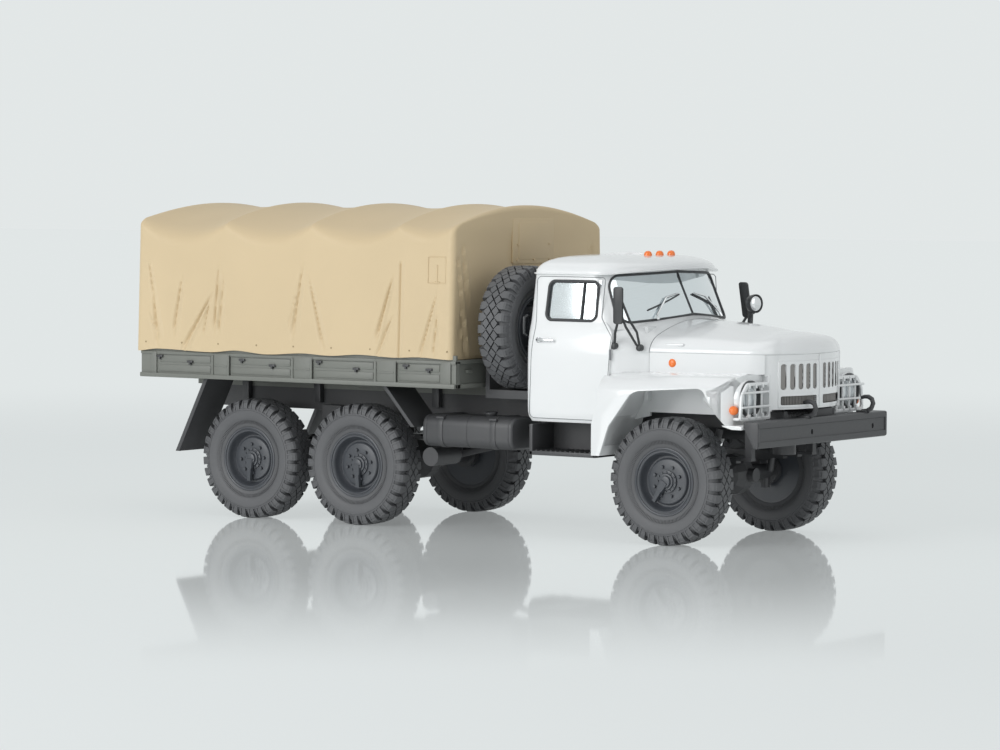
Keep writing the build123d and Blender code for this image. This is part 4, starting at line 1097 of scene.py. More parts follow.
def thicken(obj, thickness, offset=-1):
    modifier = obj.modifiers.new("wall", "SOLIDIFY")
    modifier.thickness = thickness * MM
    modifier.offset = offset
    modifier.use_even_offset = True
    return apply_modifiers(obj)


def crown_row(x, y):
    """From a point of the crease up over the shoulder to the spine."""
    spine_x = min(x, SPINE_X)
    shoulder = curve(BODY_ROWS, spine_x, 3)
    shoulder += (FRONT_SHOULDER - shoulder) * smoothstep(SPINE_X, 21.5, x)
    crown = curve(BODY_ROWS, spine_x, 2) - CREASE_Z
    reach = math.hypot(x - spine_x, y)
    row = []
    for step in range(CROWN_STEPS + 1):
        d = reach * (step / CROWN_STEPS) ** 1.9
        near = max(1 - d / SHOULDER_WIDTH, 0)
        rise = shoulder * (1 - near ** 2.4) ** (1 / 1.8) + (crown - shoulder) * (1 - (1 - d / reach) ** 2)
        row.append((x + (spine_x - x) * d / reach, y * (1 - d / reach), CREASE_Z + rise))
    return row


def make_bonnet():
    """Smooth hood over a crease that runs on round the front, with its side panels down to the wings."""
    top = surface("hood_top", [crown_row(x, y) for x, y in body_outline(HOOD_REAR)])
    edge, step, panel = [], [], []
    for (x, y), (ix, iy) in zip(body_outline(HOOD_REAR), body_outline(HOOD_REAR, CREASE_STEP)):
        edge.append([(x, y, CREASE_Z), (x, y, CREASE_Z - 0.1), ((x + ix) / 2, (y + iy) / 2, CREASE_Z - 0.2),
                     (ix, iy, CREASE_Z - 0.27)])
        step.append((ix, iy))
    side = [p for p in step if p[0] < NOSE_SEAM]
    (x0, y0), (x1, y1) = side[-1], step[len(side)]
    side.append((NOSE_SEAM, y0 + (y1 - y0) * (NOSE_SEAM - x0) / (x1 - x0)))
    for x, y in side:
        panel.append([(x, y, z) for z in (CREASE_Z - 0.27, 38.0, 36.5, PANEL_BOTTOM)])
    hood = both_halves("look_bonnet", join("hood_half", [top, surface("hood_edge", edge)]))
    thicken(hood, 0.4)
    panels = pair("panels", thicken(surface("hood_panel", panel), 0.4, 1))
    hood = join("look_bonnet", [hood, panels])
    bead = rounded_outline([(-3.6, 40.45), (0.9, 40.45), (0.9, 40.95), (-3.6, 40.95)], 0.24)
    ridge = prism("bead", bead, 17.5, 18.62, "y")
    hood = join("look_bonnet", [hood, pair("bead", bevel(ridge, 0.12, 2, 50))])
    finish(smooth(hood, 40), "root", "white_paint", "bonnet")


# Grille: slots each side of the middle bar and one low opening under them
SLOT_FIRST_Y = 1.95
SLOT_PITCH = 2.26
SLOT_COUNT = 5
SLOT_HALF = 0.74
SLOT_LOW, SLOT_HIGH = 31.9, 37.1
LOW_OPENING = (28.8, 30.6)
MASK_INSET = 0.16
FRAME_TOP = 37.7
# Fins of the radiator behind the low opening
FIN_COUNT, FIN_HALF = 57, 11.6


def front_x(y):
    """Place of the front's surface at a distance from the middle."""
    return min(front_outline(0.0, 40), key=lambda p: abs(p[1] - abs(y)))[0]


def front_band(name, low_y, high_y, outer, inner, z0, z1):
    """Slab that follows the bowed front between two widths; outer and inner are insets of its faces."""
    def line(inset):
        half = front_outline(inset, 40)
        full = half + [(x, -y) for x, y in reversed(half[:-1])]
        ends = [(min(full, key=lambda p: abs(p[1] - y))[0], y) for y in (high_y, low_y)]
        return [ends[0]] + [p for p in full if low_y < p[1] < high_y][::3] + [ends[1]]

    return prism(name, line(outer) + list(reversed(line(inner))), z0, z1, "z")


def grille_holes():
    cutters = []
    for side in (1, -1):
        for slot in range(SLOT_COUNT):
            y = side * (SLOT_FIRST_Y + slot * SLOT_PITCH)
            corners = [(y - SLOT_HALF, SLOT_LOW), (y + SLOT_HALF, SLOT_LOW), (y + SLOT_HALF, SLOT_HIGH),
                       (y - SLOT_HALF, SLOT_HIGH)]
            cutters.append(prism("slot", rounded_outline(corners, 0.55, 4), 14, 25, "x"))
        low, high = span(side, 1.2, 11.7)
        corners = [(low, LOW_OPENING[0]), (high, LOW_OPENING[0]), (high, LOW_OPENING[1]), (low, LOW_OPENING[1])]
        cutters.append(prism("slot", rounded_outline(corners, 0.35, 4), 14, 25, "x"))
    return join("holes", cutters)


def make_nose():
    """Bowed front mask with a raised, slotted grille frame each side of its middle, and what lies behind."""
    seam = NOSE_SEAM + 0.05
    walls = []
    for inset in (MASK_INSET, MASK_INSET + 1.0):
        line = front_outline(inset, 24)
        half = [p for p in line if p[0] > seam]
        before = line[len(line) - len(half) - 1]
        share = (seam - before[0]) / (half[0][0] - before[0])
        half = [(seam, before[1] + (half[0][1] - before[1]) * share)] + half
        walls.append(half)
    outer, inner = walls
    ring = outer + [(x, -y) for x, y in reversed(outer[:-1])]
    ring += [(x, -y) for x, y in inner[:-1]] + list(reversed(inner))
    mask = prism("mask", ring, NOSE_BOTTOM, CREASE_Z - 0.3, "z")
    for side in (1, -1):
        low, high = span(side, 14.2, 26.0)
        cut(mask, box("trim", 14, 24, low, high, 26, PANEL_BOTTOM - 0.4))
    parts = [mask]
    for side in (1, -1):
        low, high = span(side, 0.32, 12.25)
        frame_half = front_band("frame", low, high, 0.0, 1.0, NOSE_BOTTOM + 0.35, FRAME_TOP)
        parts.append(bevel(frame_half, 0.16, 3, 40))
    holes = grille_holes()
    for part in parts:
        combine(part, holes, "DIFFERENCE")
    drop(holes)
    parts.append(soft_box("split", 21.2, 22.42, -0.26, 0.26, NOSE_BOTTOM + 0.3, CREASE_Z - 0.4, 0.12, 3))
    dress("look_nose", parts, 32, "white_paint", "nose_grille")
    # The grey band at the bottom of the upper slots is painted shade; the radiator's fins behind the low opening
    # share its grey
    fills = [front_band("fill", -11.9, 11.9, 0.32, 0.5, 31.6, 37.4)]
    for fin in range(FIN_COUNT):
        y = -FIN_HALF + fin * 2 * FIN_HALF / (FIN_COUNT - 1)
        fills.append(box("fin", front_x(y) - 2.2, front_x(y) - 0.6, y - 0.1, y + 0.1, 28.5, 30.9))
    finish(join("look_grille_shade", fills), "root", "dark_trim", look=grille_shade)
    core = box("look_radiator", 15.0, 16.9, -12.2, 12.2, 28.3, 38.2)
    finish(core, "root", "dark_trim", "radiator")


# Wings: arch as (x, z) from the rear, then the front flange and face
ARCH = (
    (-13.9, 17.9), (-11.8, 24.0), (-6.1, 31.4), (10.4, 32.5), (13.7, 27.2), (15.3, 25.1), (17.6, 24.5),
)
WING_HALF = 27.0
WING_WALL = 0.8
# Distance from the middle at which the wing's flat top begins to roll down
ROLL_Y = 19.6
WING_FACE = 17.2
LIP_FRONT = 19.9


def wing_outline():
    corners = [(-15.9, 17.9)] + list(ARCH) + [(LIP_FRONT, 24.5)]
    arch = rounded_outline(corners, [0, 0, 1.5, 3.5, 3.0, 2.0, 1.5, 1.0, 0])
    front = [(LIP_FRONT, 25.1), (WING_FACE, 25.6)]
    corners = [(WING_FACE, 25.6), (WING_FACE, PANEL_BOTTOM), (-14.5, PANEL_BOTTOM)]
    front += rounded_outline(corners, [0, 2.2, 0])[1:]
    return arch + front + [(-14.5, 29.0), (-15.9, 24.4)]


def roll_outline():
    """Room over the wing, as (y, z): its top is flat and then rolls down to the outside."""
    over = arc((ROLL_Y, PANEL_BOTTOM), (24.6, 34.1), (WING_HALF, 30.9), 10)
    return [(0, 40), (0, PANEL_BOTTOM), (ROLL_Y, PANEL_BOTTOM)] + over + [(30, 30.9), (30, 40)]


def rolled_off(drop_by=0.0):
    """Cutter for all that lies over the wing's top, or over a lower copy of it."""
    return prism("roll", [(y, z - drop_by) for y, z in roll_outline()], -20, 21, "x")


def wing_skin():
    """Left wing: top that rolls down to the outside, the arch's flange and the front face."""
    body = prism("wing", wing_outline(), 13.0, WING_HALF, "y")
    cut(body, rolled_off())
    inner_face = WING_FACE - WING_WALL
    hollow_side = [(-14.6, 17.0), (-12.4, 24.2), (-11.2, 28.0), (-8.0, 34.3), (14.0, 34.3), (inner_face, 33.0),
                   (inner_face, 25.6), (15.5, 17.0)]
    hollow = prism("hollow", hollow_side, 12.0, WING_HALF - WING_WALL, "y")
    roof = [(y, z - WING_WALL) for y, z in roll_outline()[1:-2]]
    under = prism("under", [(0, 20)] + roof + [(WING_HALF, 20)], -20, 21, "x")
    combine(hollow, under, "INTERSECT")
    drop(under)
    cut(body, hollow)
    cab_room = [(-18, 0), (-18, 24.3), (-13.1, 24.3), (-13.1, 22.2), (-6.3, 18.0), (-6.3, 0)]
    return cut(body, prism("cab_room", cab_room, 28.6, 46, "z"))


LAMP_PLACE = (WING_FACE + 0.3, 20.2, 30.3)
POD_RADIUS = 4.15


def make_wings():
    """Wings with a rounded outer corner, a pod round each headlight and an inner wall over the wheel."""
    body = wing_skin()
    corner = arc((11.8, WING_HALF + 0.1), (15.6, 25.4), (WING_FACE + 0.1, 21.2), 8)
    corner = [(11.8, WING_HALF + 0.1)] + corner + [(WING_FACE + 4, 21.2), (WING_FACE + 4, 30), (11.8, 30)]
    cut(body, prism("corner", corner, 25.25, 36, "z"))
    bevel(body, 0.16, 2, 50)
    pod = [(-10.0, 1.2), (-7.5, 2.9), (-4.5, 3.9), (-2.0, POD_RADIUS), (-0.4, POD_RADIUS + 0.02),
           (0.1, POD_RADIUS - 0.2), (0.15, 3.7), (-0.6, 3.6)]
    pod = spun("pod", pod, LAMP_PLACE, (1, 0, 0))
    wall = [(-13.6, 24.6), (-8.6, 25.8), (-8.6, 26.6), (9.6, 26.6), (12.5, 30.0), (12.5, 34.6), (-13.6, 34.6)]
    wall = prism("wall", wall, 15.4, 16.0, "y")
    bend = corner[:9]
    skin = bend + [(WING_FACE, 13.6), (WING_FACE - 0.7, 13.6)] + [(x - 0.5, y - 0.6) for x, y in reversed(bend)]
    skin = prism("skin", skin, 24.6, 36, "z")
    arch = [(5, 15), (5, 32.1)] + rounded_outline(list(ARCH[-4:]), [0, 2, 1, 0])
    cut(skin, prism("arch", arch + [(17.6, 15)], 10, 30, "y"), rolled_off())
    flange = box("flange", WING_FACE - 0.7, 18.8, 13.3, 14.35, 27.6, PANEL_BOTTOM - 0.1)
    rear = prism("rear", [(-13.4, 24.6), (-9.2, 31.5), (-7.6, 34.6), (-6.9, 34.6), (-8.5, 31.2), (-12.7, 24.6)],
                 15.4, 26.3, "y")
    cut(rear, rolled_off(0.4))
    dress_sides("wing", [body, pod, wall, skin, flange, rear], 40, "white_paint")


# Cab: half width of its side by height
SIDE_PROFILE = (
    (24.2, 23.4), (25.2, 23.95), (27.0, 24.2), (33.0, 24.25), (39.5, 24.2), (42.5, 23.75), (45.2, 22.95),
    (49.0, 22.35), (54.6, 21.55),
)
CAB_REAR = -34.2
# Cab above the belt: height, rear x, x of the pillar and of the windscreen's middle
GREENHOUSE = (
    (43.0, -34.1, -13.6, -6.4), (45.2, -34.1, -14.3, -7.6), (50.0, -34.0, -15.9, -9.9),
    (54.9, -33.9, -17.5, -12.2),
)
PILLAR_CORNER = 2.2
SIDE_WINDOW = ((-29.9, 45.3), (-17.5, 45.3), (-17.6, 53.3), (-29.6, 53.3))
# Windscreen and rear window, as (y, z)
SCREEN = ((0.0, 46.4), (21.2, 44.8), (20.2, 54.5), (0.0, 55.2), (-20.2, 54.5), (-21.2, 44.8))
SCREEN_RADII = (0, 2.4, 3.2, 0, 3.2, 2.4)
REAR_WINDOW = ((-9.0, 47.0), (9.0, 47.0), (9.0, 53.0), (-9.0, 53.0))
# Door front edge by height
DOOR_EDGE = ((24.2, -15.7), (28.2, -13.95), (38.3, -13.25), (42.2, -12.95), (43.8, -13.8), (45.4, -15.4))
DOOR_OUTLINE = (
    (-33.1, 24.9), (-32.6, 38.3), (-32.1, 43.4), (-32.9, 54.2), (-16.0, 54.2), (-16.2, 45.9), (-14.6, 43.9),
    (-13.1, 42.2), (-13.35, 38.3), (-14.1, 28.2), (-15.7, 24.9),
)
DOOR_RADII = (1.0, 2.0, 2.0, 1.0, 0.8, 1.5, 1.5, 1.0, 2.0, 2.0, 0.8)
ROOF_ROWS = (
    (55.0, 0.0), (55.5, 0.1), (56.2, 0.6), (56.9, 1.5), (57.5, 2.9), (58.0, 4.9), (58.35, 7.5), (58.58, 11.0),
    (58.68, 15.0), (58.7, 20.5),
)
ROOF_MIDDLE_X = -24.0
ROOF_HALF = 21.85
# How much the roof's edge rises towards the middle of the peak over the windscreen
PEAK_RISE = 1.15


def side_half(z):
    return curve(SIDE_PROFILE, z, 1)


def screen_place(z):
    """Rear, pillar and middle x of the cab's plan at a height above the belt, and its half width."""
    return curve(GREENHOUSE, z, 1), curve(GREENHOUSE, z, 2), curve(GREENHOUSE, z, 3), side_half(z)


def screen_x(y, z):
    """Place of the windscreen's surface."""
    pillar, middle, half = screen_place(z)[1:]
    limit = half - PILLAR_CORNER * 1.1
    bow = middle - pillar
    if abs(y) <= limit:
        return middle - bow * (y / half) ** 2
    t = math.sqrt(max(half - abs(y), 0) / (half - limit))
    edge_x = middle - bow * (limit / half) ** 2
    return (1 - t) ** 2 * (pillar - PILLAR_CORNER) + 2 * t * (1 - t) * pillar + t * t * edge_x


def rear_corner(rear, half, radius):
    """Points of the left half's rear edge and corner."""
    rear_y = half - radius
    points = [(rear, rear_y * s / 8) for s in range(8)]
    for s in range(7):
        a = math.pi / 2 * s / 6
        points.append((rear + radius * (1 - math.cos(a)), rear_y + radius * math.sin(a)))
    return points


def plan_ring(rear, pillar, middle, half, corner=PILLAR_CORNER, radius=1.4):
    """Left half of the cab's plan, from the rear's middle round to the windscreen's middle."""
    points = rear_corner(rear, half, radius)
    start, end = rear + radius, pillar - corner
    points += [(start + (end - start) * s / 14, half) for s in range(1, 15)]
    screen_y = half - corner * 1.1
    bow = (middle - pillar) / half ** 2
    edge_x = middle - bow * screen_y ** 2
    for s in range(1, 9):
        t = s / 8
        a, b, c = (1 - t) ** 2, 2 * t * (1 - t), t * t
        points.append((a * end + b * pillar + c * edge_x, a * half + b * half + c * screen_y))
    ys = [screen_y * (1 - s / 16) for s in range(1, 17)]
    return points + [(middle - bow * y * y, y) for y in ys]


def window_cutters():
    cutters = []
    for side in (1, -1):
        low, high = span(side, 19.0, 26.0)
        cutters.append(prism("window", rounded_outline(SIDE_WINDOW, 1.3), low, high, "y"))
    cutters.append(prism("screen", rounded_outline(SCREEN, SCREEN_RADII), -26, 0, "x"))
    cutters.append(prism("rear_window", rounded_outline(REAR_WINDOW, 1.0), -37, -31, "x"))
    return cutters


def make_greenhouse():
    rows = []
    for step in range(19):
        z = 43.6 + (55.7 - 43.6) * step / 18
        rows.append([(x, y, z) for x, y in plan_ring(*screen_place(z))])
    house = thicken(both_halves("house", surface("house", rows)), 0.8)
    return cut(house, *window_cutters())


def make_doors():
    """Rear wall, corners and doors up to the belt."""
    rows = []
    for z in (24.2, 24.6, 25.2, 26.2, 27.5, 30, 33, 36, 38.5, 40.5, 41.8, 43, 44, 45.0):
        half = side_half(z)
        ring = rear_corner(CAB_REAR + 0.5 * (1 - smoothstep(24.2, 25.6, z)), half, 1.6)
        start, end = ring[-1][0], curve(DOOR_EDGE, z, 1)
        ring += [(start + (end - start) * s / 12, half) for s in range(1, 13)]
        ring += [(end + 0.02, half - 0.7), (end + 0.02, half - 1.6)]
        rows.append([(x, y, z) for x, y in ring])
    return thicken(both_halves("doors", surface("doors", rows)), 0.6)


def make_cowl():
    """Scuttle between the doors and the bonnet, one smooth surface down to the wings."""
    rows = []
    rear, front = -17.0, HOOD_REAR - 0.14
    for step in range(21):
        x = rear + (front - rear) * step / 20
        half = curve(BODY_ROWS, x, 1)
        lower = [(x, half - 0.09, z) for z in (PANEL_BOTTOM - 0.6, 36.6, 38.0, 39.02)]
        rows.append(lower + [(x, half - 0.03, 39.14)] + crown_row(x, half))
    return thicken(both_halves("cowl", surface("cowl", rows)), 0.6)


def peak_rise(x, y, z):
    """How far a point of the roof's edge is raised over the windscreen."""
    ahead = smoothstep(-18.5, -13.0, x)
    return PEAK_RISE * ahead * (1 - (y / ROOF_HALF) ** 2) * (1 - smoothstep(55.0, 58.2, z))


def make_roof():
    """Domed roof over a gutter that becomes a peak over the windscreen, with raised ribs."""
    base = plan_ring(-33.95, -16.2, -8.8, ROOF_HALF, corner=3.0, radius=1.8)
    edge = plan_ring(-34.2, -15.8, -8.2, 22.2, corner=3.0, radius=1.8)
    under = plan_ring(-33.9, -16.4, -9.1, 21.8, corner=3.0, radius=1.8)
    inner = plan_ring(-33.4, -17.8, -12.7, 21.0)
    rows = [[(x, y, 54.9 + smoothstep(-19, -13, x) * (1 - (y / 22) ** 2)) for x, y in inner]]
    for ring, z in ((under, 54.72), (edge, 54.74), (edge, 54.98)):
        rows.append([(x, y, z + peak_rise(x, y, z)) for x, y in ring])
    for z, inset in ROOF_ROWS:
        share = inset / ROOF_HALF
        ring = [(x + (ROOF_MIDDLE_X - x) * share, y * (1 - share), z) for x, y in base]
        rows.append([(x, y, z + peak_rise(x, y, z)) for x, y, z in ring])
    roof = both_halves("roof", surface("roof", rows))
    ribs = []
    for y in (-13.0, -6.5, 0.0, 6.5, 13.0):
        high = 58.72 - 0.0072 * y * y
        path = [(-30.5, y, high - 0.75), (-29.0, y, high - 0.3), (-26.5, y, high - 0.1), (-21.5, y, high - 0.1),
                (-19.0, y, high - 0.35), (-17.5, y, high - 0.8)]
        ribs.append(tube("rib", path, [0.2, 0.4, 0.45, 0.45, 0.4, 0.2], 10))
    return join("roof", [roof] + ribs)


def make_cab():
    parts = [make_greenhouse(), make_doors(), make_cowl(), make_roof()]
    parts.append(box("floor", -33.4, -14.2, -22.6, 22.6, 28.9, 29.6))
    parts.append(box("floor", -14.4, -8.8, -15.2, 15.2, 28.9, 29.6))
    parts.append(box("firewall", -9.0, -8.2, -17.6, 17.6, 29.0, 44.2))
    cab = join("look_cab", parts)
    finish(smooth(cab, 38), "root", "white_paint", "cab_shell")
    make_door_seams()
    make_glazing()


def make_dashboard():
    outline = rounded_outline([(-8.9, 38.0), (-8.9, 43.2), (-13.2, 43.0), (-13.8, 41.2), (-11.5, 38.0)], 0.5, 4)
    parts = [prism("dashboard", outline, -16.6, 16.6, "y")]
    dial = [(0.0, 1.0), (0.25, 1.0), (0.3, 0.8), (0.3, 0.0)]
    for y in (8.0, 10.6):
        parts.append(spun("dial", dial, (-13.5, y, 42.0), (-1, 0, 0.3), 20))
    dress("look_dashboard", parts, 35, "cab_trim", "dashboard")


def dense_loop(outline, step):
    """Closed outline with points added on its long runs."""
    points = []
    for (a0, b0), (a1, b1) in zip(outline, outline[1:] + outline[:1]):
        count = max(int(math.hypot(a1 - a0, b1 - b0) / step), 1)
        points += [(a0 + (a1 - a0) * s / count, b0 + (b1 - b0) * s / count) for s in range(count)]
    return points


def make_door_seams():
    """Fine dark lines round the doors and behind the bonnet."""
    parts = []
    for side in (1, -1):
        loop = dense_loop(rounded_outline(DOOR_OUTLINE, DOOR_RADII), 0.8)
        path = [(x, side * (side_half(z) - 0.02), z) for x, z in loop]
        parts.append(tube("seam", path, 0.085, 6, closed=True))
        for z in (38.5, 28.6):
            x = curve(DOOR_EDGE, z, 1) + 0.05
            parts.append(tube("hinge", [(x, side * 24.22, z - 1.1), (x, side * 24.22, z + 1.1)], 0.24, 8))
    half = crown_row(HOOD_REAR, curve(BODY_ROWS, HOOD_REAR, 1))
    gap_x = HOOD_REAR - 0.07
    path = [(gap_x, y - 0.02, z - 0.08) for _, y, z in half]
    path += [(gap_x, -y + 0.02, z - 0.08) for _, y, z in reversed(half[:-1])]
    parts.append(tube("seam", path, 0.12, 6))
    finish(join("look_seams", parts), "root", "cab_trim", look=seam_shade)


def make_glazing():
    """Rubber seals, dividers and panes of the windows."""
    seals, panes = [], []
    for side in (1, -1):
        loop = rounded_outline(SIDE_WINDOW, 1.35, 8)
        seal = [(x, side * (side_half(z) + 0.02), z) for x, z in loop]
        seals.append(tube("seal", seal, 0.33, 8, closed=True))
        post = [(-21.3, side * (side_half(45.3) - 0.1), 45.3), (-21.15, side * (side_half(53.3) - 0.1), 53.3)]
        seals.append(tube("divider", post, 0.22, 8))
        levels = [45.0 + 8.6 * s / 8 for s in range(9)]
        xs = (-30.2, -26, -22, -17.2)
        panes.append(surface("pane", [[(x, side * (side_half(z) - 0.35), z) for x in xs] for z in levels]))
        levels = [44.4 + 11.0 * s / 9 for s in range(10)]
        ys = [21.2 * k / 14 for k in range(15)]
        panes.append(surface("pane", [[(screen_x(y, z) - 0.1, side * y, z) for y in ys] for z in levels]))
    loop = dense_loop(rounded_outline(SCREEN, SCREEN_RADII, 8), 1.0)
    seals.append(tube("seal", [(screen_x(y, z) + 0.05, y, z) for y, z in loop], 0.27, 8, closed=True))
    seals.append(tube("divider", [(screen_x(0, z) - 0.05, 0, z) for z in (46.4, 49.3, 52.2, 55.2)], 0.2, 8))
    loop = rounded_outline(REAR_WINDOW, 1.0)
    seals.append(tube("seal", [(-34.1, y, z) for y, z in loop], 0.33, 8, closed=True))
    dress("look_window_seals", seals, 60, "dark_trim", look=rubber_seal)
    panes.append(surface("pane", [[(-33.9, y, z) for y in (-9.2, 0, 9.2)] for z in (46.8, 50, 53.2)]))
    dress("look_glass", panes, 40, "clear_glass", "cab_glass")


# Lamps, guards, bumper, mirrors and fittings

GUARD_OUTLINE = ((13.3, 26.1), (25.2, 26.1), (24.7, 31.2), (22.3, 33.7), (13.7, 33.7))
GUARD_OPENING = ((14.1, 26.8), (24.4, 26.8), (24.0, 31.0), (21.9, 33.0), (14.4, 33.0))
GUARD_BACK = 18.0
GUARD_FRONT = 18.55


def make_headlights():
    """Lens in a dark ring, deep in each pod, and the guard's bars before it."""
    ring = [(-0.5, 3.8), (0.55, 3.8), (0.75, 3.6), (0.7, 3.3), (0.3, 3.1), (-0.5, 3.1)]
    ring = spun("ring", ring, LAMP_PLACE, (1, 0, 0), 40)
    lens = [(-0.7, 3.2), (0.0, 3.2), (0.25, 2.6), (0.4, 1.6), (0.45, 0.0)]
    lens = spun("lens", lens, LAMP_PLACE, (1, 0, 0), 40)
    dress_pair("look_lamp_rings", [ring], 40, "dark_trim")
    dress_pair("look_headlights", [lens], 60, "lamp_lens", "headlights")
    outline = rounded_outline(GUARD_OUTLINE, [0.5, 0.8, 2.4, 1.8, 0.8])
    plate = prism("plate", outline, GUARD_BACK, GUARD_FRONT, "x")
    opening = rounded_outline(GUARD_OPENING, [0.4, 0.6, 1.9, 1.4, 0.6])
    cut(plate, prism("opening", opening, GUARD_BACK - 1, GUARD_FRONT + 1, "x"))
    parts = [bevel(plate, 0.1)]
    middle_x = (GUARD_BACK + GUARD_FRONT) / 2
    for y in (16.6, 19.2, 21.8):
        parts.append(tube("upright", [(middle_x, y, 26.4), (middle_x, y, 33.4)], 0.26, 8))
        for z in (26.9, 33.0):
            stub = box("stub", GUARD_BACK - 0.1, GUARD_FRONT + 0.25, y - 0.32, y + 0.32, z - 0.5, z + 0.5)
            parts.append(bevel(stub, 0.12))
    for z in (28.8, 31.7):
        parts.append(tube("bar", [(middle_x + 0.35, 12.8, z), (middle_x + 0.35, 24.8, z)], 0.27, 8))
    for y, z in ((13.8, 26.4), (24.9, 26.5), (14.0, 33.3)):
        parts.append(tube("stay", [(WING_FACE - 0.3, y, z), (GUARD_BACK + 0.2, y, z)], 0.3, 8))
    dress_pair("look_lamp_guards", parts, 35, "white_paint", "lamp_guards")


def make_orange_lamps():
    """Lamps on the bonnet's sides and the wings' corners, and three on the roof."""
    dome = [(-0.6, 1.0), (0.0, 1.0), (0.35, 0.85), (0.55, 0.55), (0.62, 0.0)]
    side = spun("side", dome, (-1.3, curve(BODY_ROWS, -1.3, 1) - 0.05, 37.0), (0, 1, 0), 24)
    corner = spun("corner", [(a * 1.2, r * 0.92) for a, r in dome], (16.8, 24.7, 28.2), (0.8, 0.6, 0), 24)
    lamps = [pair("side", side), pair("corner", corner)]
    tall = [(-0.7, 0.85), (0.5, 0.85), (0.9, 0.7), (1.15, 0.4), (1.22, 0.0)]
    for y in (-4.55, 0.0, 4.55):
        lamps.append(spun("top", tall, (-16.6, y, 58.3), (0, 0, 1), 20))
    dress("look_orange_lamps", lamps, 60, "orange_lens", "orange_lamps")


BUMPER_TOP, BUMPER_HALF = 26.1, 26.5
# Axis of the winch's drum, as (x, z)
WINCH_PLACE = (17.6, 26.0)


def make_bumper():
    """Folded steel bumper with pressed ridges, holes and raked ends, its hooks and the winch behind it."""
    section = [(20.0, 25.5), (20.0, BUMPER_TOP), (23.0, BUMPER_TOP), (23.3, 25.9), (23.45, 25.5), (23.45, 24.9),
               (23.2, 24.7), (23.2, 22.25), (23.45, 22.05), (23.45, 21.3), (23.3, 20.95), (23.0, 20.8), (22.5, 20.8),
               (22.5, 21.5), (22.7, 25.4)]
    bar = prism("bar", section, -BUMPER_HALF + 0.3, BUMPER_HALF - 0.3, "y")
    for y in (-4.6, 20.7):
        corners = [(y - 0.42, 22.7), (y + 0.42, 22.7), (y + 0.42, 23.8), (y - 0.42, 23.8)]
        cut(bar, prism("hole", rounded_outline(corners, 0.4, 4), 22, 25, "x"))
    parts = [bar]
    end = [(20.0, BUMPER_TOP), (20.0, 25.2), (22.4, 20.8), (23.0, 20.8), (23.4, 21.1), (23.4, 25.9),
           (23.0, BUMPER_TOP)]
    for side in (1, -1):
        low, high = span(side, BUMPER_HALF - 0.7, BUMPER_HALF)
        parts.append(bevel(prism("end", end, low, high, "y"), 0.1))
        parts.append(box("bracket", 19.5, 22.8, side * 9.6 - 0.9, side * 9.6 + 0.9, 22.6, 24.7))
    dress("look_bumper", parts, 30, "chassis_plastic", "bumper")
    hooks = []
    for y in (-4.9, 19.0):
        path = [(21.6, y, 26.3), (22.8, y, 26.4), (23.8, y, 27.0), (24.2, y, 28.0), (23.9, y, 28.9), (23.1, y, 29.35),
                (22.2, y, 29.35), (21.4, y, 29.1)]
        hooks.append(tube("hook", path, [0.45, 0.5, 0.5, 0.5, 0.5, 0.48, 0.42, 0.35], 12))
        hooks.append(soft_box("foot", 20.6, 23.0, y - 0.9, y + 0.9, 25.7, 26.5, 0.15))
    hooks.append(box("rear_hook", -135.2, -131.0, -1.2, 1.2, 24.6, 26.4))
    dress("look_tow_hooks", hooks, 40, "chassis_plastic", "tow_hooks")
    x, z = WINCH_PLACE
    drum = [tube("drum", [(x, -7.4, z), (x, 7.4, z)], 1.2, 24)]
    for y in range(-6, 7):
        drum.append(spun("turn", [(-0.3, 1.25), (0.0, 1.4), (0.3, 1.25)], (x, y, z), (0, 1, 0), 20))
    for y in (7.4, -9.0):
        drum.append(spun("cheek", [(0, 1.8), (1.6, 1.8)], (x, y, z), (0, 1, 0), 28))
    drum.append(soft_box("case", 16.6, 20.6, 1.6, 8.4, 24.6, 27.7, 0.35, 3))
    drum.append(soft_box("guide", 19.6, 21.4, -3.4, 0.6, 24.7, 26.6, 0.25))
    dress("look_winch", drum, 40, "chassis_plastic", "winch")


# The left mirror leans to the rear from a height up, by this much for each millimetre
MIRROR_BEND = 43
MIRROR_LEAN = 0.15


def make_mirrors():
    corners = [(-11.3, 44.9), (-9.1, 44.9), (-9.1, 52.5), (-11.3, 52.5)]
    plate = bevel(prism("plate", rounded_outline(corners, 0.6), 25.55, 26.15, "y"), 0.12)
    parts = [plate]
    # Arms as runs of (x, y, z) from the plate to the scuttle, with their radius
    for path, r in (
        ([(-10.3, 25.9, 45.2), (-11.6, 24.8, 43.0), (-12.6, 23.4, 40.4)], 0.28),
        ([(-9.4, 25.9, 49.8), (-8.2, 24.6, 45.6), (-7.6, 22.8, 43.2), (-7.9, 21.2, 40.2)], 0.26),
        ([(-9.8, 25.9, 47.6), (-9.2, 24.6, 44.4), (-8.2, 22.0, 40.6), (-7.9, 21.2, 40.0)], 0.26),
    ):
        parts.append(tube("arm", path, r, 8))
    for x, y, z in ((-12.6, 23.5, 40.3), (-7.9, 21.2, 40.0)):
        parts.append(spun("foot", [(-0.5, 0.7), (0.4, 0.7), (0.6, 0.45)], (x, y, z), (0, 1, 0), 14))
    left = join("mirror", parts)
    right = mirrored(left, "mirror_right")
    for vertex in left.data.vertices:
        vertex.co.x -= max(vertex.co.z - at(0, 0, MIRROR_BEND)[2], 0) * MIRROR_LEAN
    dress("look_mirrors", [left, right], 40, "dark_trim", "mirrors")


